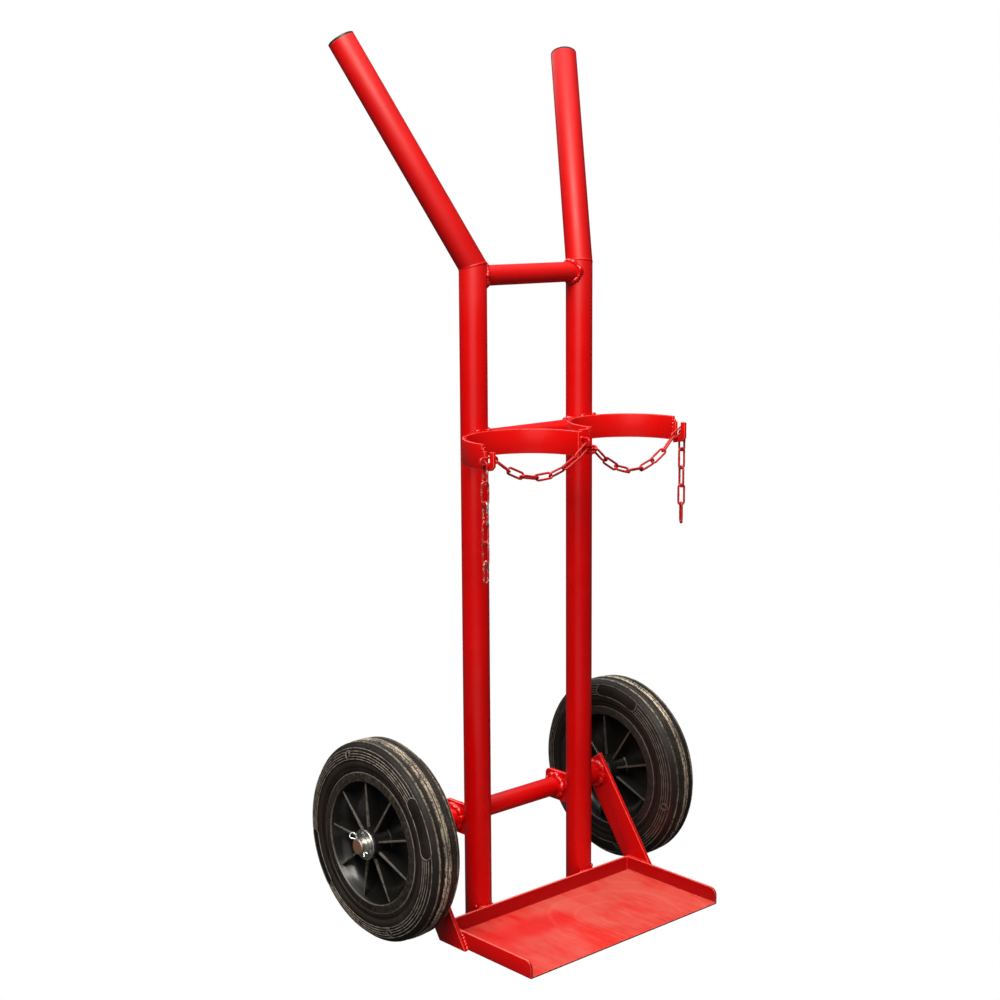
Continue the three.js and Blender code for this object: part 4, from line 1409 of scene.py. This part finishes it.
def catch_weld(side, sign):
    """Beads on both sides of a catch's rear edge, a lump on its top and drops of spatter."""
    low, high = half_span(f"chain_catch_{side}", sign)
    middle = (low[0] + high[0]) / 2
    y = CATCH_BACK_Y + 0.2
    shapes = []
    for x, radius, seed in ((high[0] - 0.3, 1.2, 25), (low[0], 2.0, 26)):
        shapes.append(standing_bead(x, y, low[2] + 4, high[2] - 1, radius, seed))
    shapes.append(blob((middle, y, high[2] + 0.8), 2.5, 27, (0.9, 1.2, 0.9)))
    for k, (dx, dy, dz, size) in enumerate(SPATTER):
        shapes.append(blob((middle + dx, y + dy, high[2] + dz), size, 30 + k))
    return together(shapes)


def make_band_welds():
    """Beads where the bands touch the uprights and the join plate, and at the catches."""
    pair("band_upright_weld", band_upright_weld, "weld")
    pair("join_seam_weld", join_seam_weld, "weld")
    pair("catch_weld", catch_weld, "weld")


def chain_catch(side, sign):
    """A plate with a round-bottomed notch that opens upwards."""
    low, high = half_span(f"chain_catch_{side}", sign)
    bottom, top = low[2], high[2]
    notch_y = CATCH_BACK_Y - CATCH_PRONG - NOTCH_WIDTH / 2
    half = NOTCH_WIDTH / 2
    notch = bottom + CATCH_DEPTH_BELOW_NOTCH
    outline = [(CATCH_FRONT_Y + 5, bottom + 2.5), (CATCH_BACK_Y, bottom), (CATCH_BACK_Y, top)]
    outline.append((notch_y + half, top))
    outline += arc(notch_y, notch + half, half, 0, -180, 20)
    outline += [(notch_y - half, top), (CATCH_FRONT_Y, top), (CATCH_FRONT_Y, notch - 1)]
    return plate(outline, low[0], high[0] - low[0])


def make_catches():
    pair("chain_catch", chain_catch, "red_lit_copy", stands_for="chain_catch", bevel=0.5)


def eye_columns(side):
    """Directions of an eye's own axes: it is tilted about the line it points along."""
    tilt = math.radians(EYES[side][2])
    return ((math.cos(tilt), 0, -math.sin(tilt)), (0, 1, 0), (math.sin(tilt), 0, math.cos(tilt)))


def chain_eye(side, sign):
    """A bent rod on the front of the join plate."""
    x, z, _ = EYES[side]
    bend = arc(EYE_FOOT_Y - EYE_REACH + EYE_BEND_R + EYE_ROD_R, 0, EYE_BEND_R, 90, 270, 20)
    line = [(EYE_FOOT_Y, EYE_BEND_R), *bend, (EYE_FOOT_Y, -EYE_BEND_R)]
    path = resampled([(0, y, height) for y, height in line], 0.8)
    return swept(path, EYE_ROD_R, sides=16, up=(1, 0, 0)).turned(eye_columns(side)).moved(x, 0, z)


def chain_eye_weld(side, sign):
    """A lump of weld round each foot."""
    x, z, _ = EYES[side]
    lumps = []
    for height, seed in ((EYE_BEND_R, 41), (-EYE_BEND_R, 42)):
        foot = np.array((0, EYE_FOOT_Y + 0.6, height)) @ np.array(eye_columns(side))
        lumps.append(blob(foot + (x, 0, z), 2.5, seed, (1, 0.9, 1)))
    return together(lumps)


def make_eyes():
    pair("chain_eye", chain_eye, "red", stands_for="chain_eye", sharp=50)
    pair("chain_eye_weld", chain_eye_weld, "weld")


# ---- chains ----
def link_path():
    """The centre line of a link lying along +X, starting in the middle of its welded side."""
    crown = LINK_CROWN_R
    straight = LINK_STRAIGHT
    points = [(x, -crown) for x in np.linspace(0, straight, 8)[:-1]]
    points += [(straight + a, b) for a, b in arc(0, 0, crown, -90, 90, 14)[:-1]]
    points += [(x, crown) for x in np.linspace(straight, -straight, 16)[:-1]]
    points += [(-straight + a, b) for a, b in arc(0, 0, crown, 90, 270, 14)[:-1]]
    points += [(x, -crown) for x in np.linspace(-straight, 0, 8)[:-1]]
    return np.array([(x, y, 0) for x, y in points])


def link_axes(node):
    """Centre, length, width and thickness directions of a CAD link, in millimetres."""
    mesh = frame["nodes"][node].data
    points = np.array([v.co for v in mesh.vertices]) / MM - (0, UPRIGHT_PLANE_Y / MM, 0)
    merged = np.unique(points.round(3), axis=0)
    centre = merged.mean(0)
    _, directions = np.linalg.eigh(np.cov((merged - centre).T))
    return centre, directions[:, 2], directions[:, 1], directions[:, 0]


def make_links():
    """A bent wire with a welded lump for each CAD link, on the body that the link belongs to."""
    path = link_path()
    distance = np.abs(path[:, 0]) + 40 * (path[:, 1] > 0)
    radii = WIRE_R * (1 + 0.16 * np.exp(-((distance / 1.3) ** 2)))
    wire = swept(path, radii, sides=14, closed=True)
    for body, names in frame["record"]["behaviour"]["bodies"].items():
        for node in names:
            if not node.startswith(("chain_left", "chain_right")):
                continue
            centre, length, width, thickness = link_axes(node)
            own = wire.turned((length, width, thickness)).moved(*centre)
            chipped = "tail" in node and "left" in node
            piece(node, own, "chain_chipped" if chipped else "chain", body, node, sharp=80)


# ---- floor and light ----
# Seen straight on, the floor and the room are plain white. What they shed on the truck is dim, but
# for a bright pool on the floor in front and a paler upper half of the room.
POOL_AT = (-0.62, -0.62)
POOL_REACH = 0.75
POOL_GLOW = 0.5
FLOOR_GLOW = 0.05
LOW_GLOW = 0.025
MIDDLE_GLOW = 0.12
CEILING_GLOW = 1.5
WARM = (1.0, 0.94, 0.84)
LIT_POINT = (0, 0, 0.5)


def add_area(name, at, size, glow, tint=(1, 1, 1)):
    """A rectangular light that faces the truck's middle; glow is its radiance."""
    data = bpy.data.lights.new(name, "AREA")
    data.shape = "RECTANGLE"
    data.size, data.size_y = size
    data.energy = glow * math.pi * size[0] * size[1]
    data.color = tint
    light = bpy.data.objects.new(name, data)
    bpy.context.scene.collection.objects.link(light)
    light.location = at
    way = Vector(LIT_POINT) - Vector(at)
    light.rotation_euler = way.to_track_quat("-Z", "Y").to_euler()


def floor_pale():
    """White to the eye; for the light it sheds, dim with a bright pool in front of the truck."""
    f = Finish("floor_pale")
    pool = f.add("ShaderNodeVectorMath", operation="DISTANCE")
    f.feed(pool.inputs[0], f.place)
    pool.inputs[1].default_value = (*POOL_AT, 0)
    glow = f.ramp(pool.outputs["Value"], 0.2 * POOL_REACH, POOL_REACH, POOL_GLOW, FLOOR_GLOW)
    glow = f.times(glow, f.ramp(f.noise(4), 0.3, 0.7, 0.95, 1.05))
    emission = f.add("ShaderNodeEmission")
    f.feed(emission.inputs["Strength"], f.white_to_the_eye(glow))
    f.feed(f.tree.nodes["Material Output"].inputs["Surface"], emission.outputs[0])
    return f.material


def add_floor():
    bm = bmesh.new()
    bmesh.ops.create_grid(bm, x_segments=1, y_segments=1, size=12)
    mesh = bpy.data.meshes.new("floor")
    bm.to_mesh(mesh)
    bm.free()
    floor = bpy.data.objects.new("floor", mesh)
    floor.location.z = -0.0002
    bpy.context.scene.collection.objects.link(floor)
    mesh.materials.append(floor_pale())


def add_room():
    """White to the eye; for the light it sheds, dark below, paler above and bright overhead."""
    world = bpy.data.worlds.new("world")
    bpy.context.scene.world = world
    room = Nodes(world, "Generated")
    height = room.axis("Z")
    middle = room.ramp(height, 0.0, 0.4, LOW_GLOW, MIDDLE_GLOW)
    glow = room.plus(middle, room.ramp(height, 0.6, 0.95, 0.0, CEILING_GLOW))
    background = room.tree.nodes["Background"]
    background.inputs["Color"].default_value = (1, 1, 1, 1)
    room.feed(background.inputs["Strength"], room.white_to_the_eye(glow))


def add_studio():
    """A large soft light above the camera, a dimmer one behind it and one high behind the truck."""
    add_floor()
    add_room()
    add_area("key", (-2.22, -1.86, 4.0), (2.4, 2.4), 13.2, WARM)
    add_area("front", (-2.43, -1.76, 1.35), (2.4, 2.2), 0.75)
    add_area("back", (1.0, 2.9, 2.9), (2.4, 2.4), 2.6)
    bpy.context.scene.view_settings.view_transform = "Standard"


make_uprights()
make_handles()
make_mitre_welds()
make_handle_caps()
make_crossbars()
make_toe_plate()
make_toe_welds()
make_axle_tube()
make_axle_brackets()
make_struts()
make_undercarriage_welds()
make_axle_rod()
make_washers()
make_cotters()
make_tyres()
make_wheel_centres()
make_bands()
make_band_welds()
make_catches()
make_eyes()
make_links()
add_studio()

bpy.context.view_layer.update()
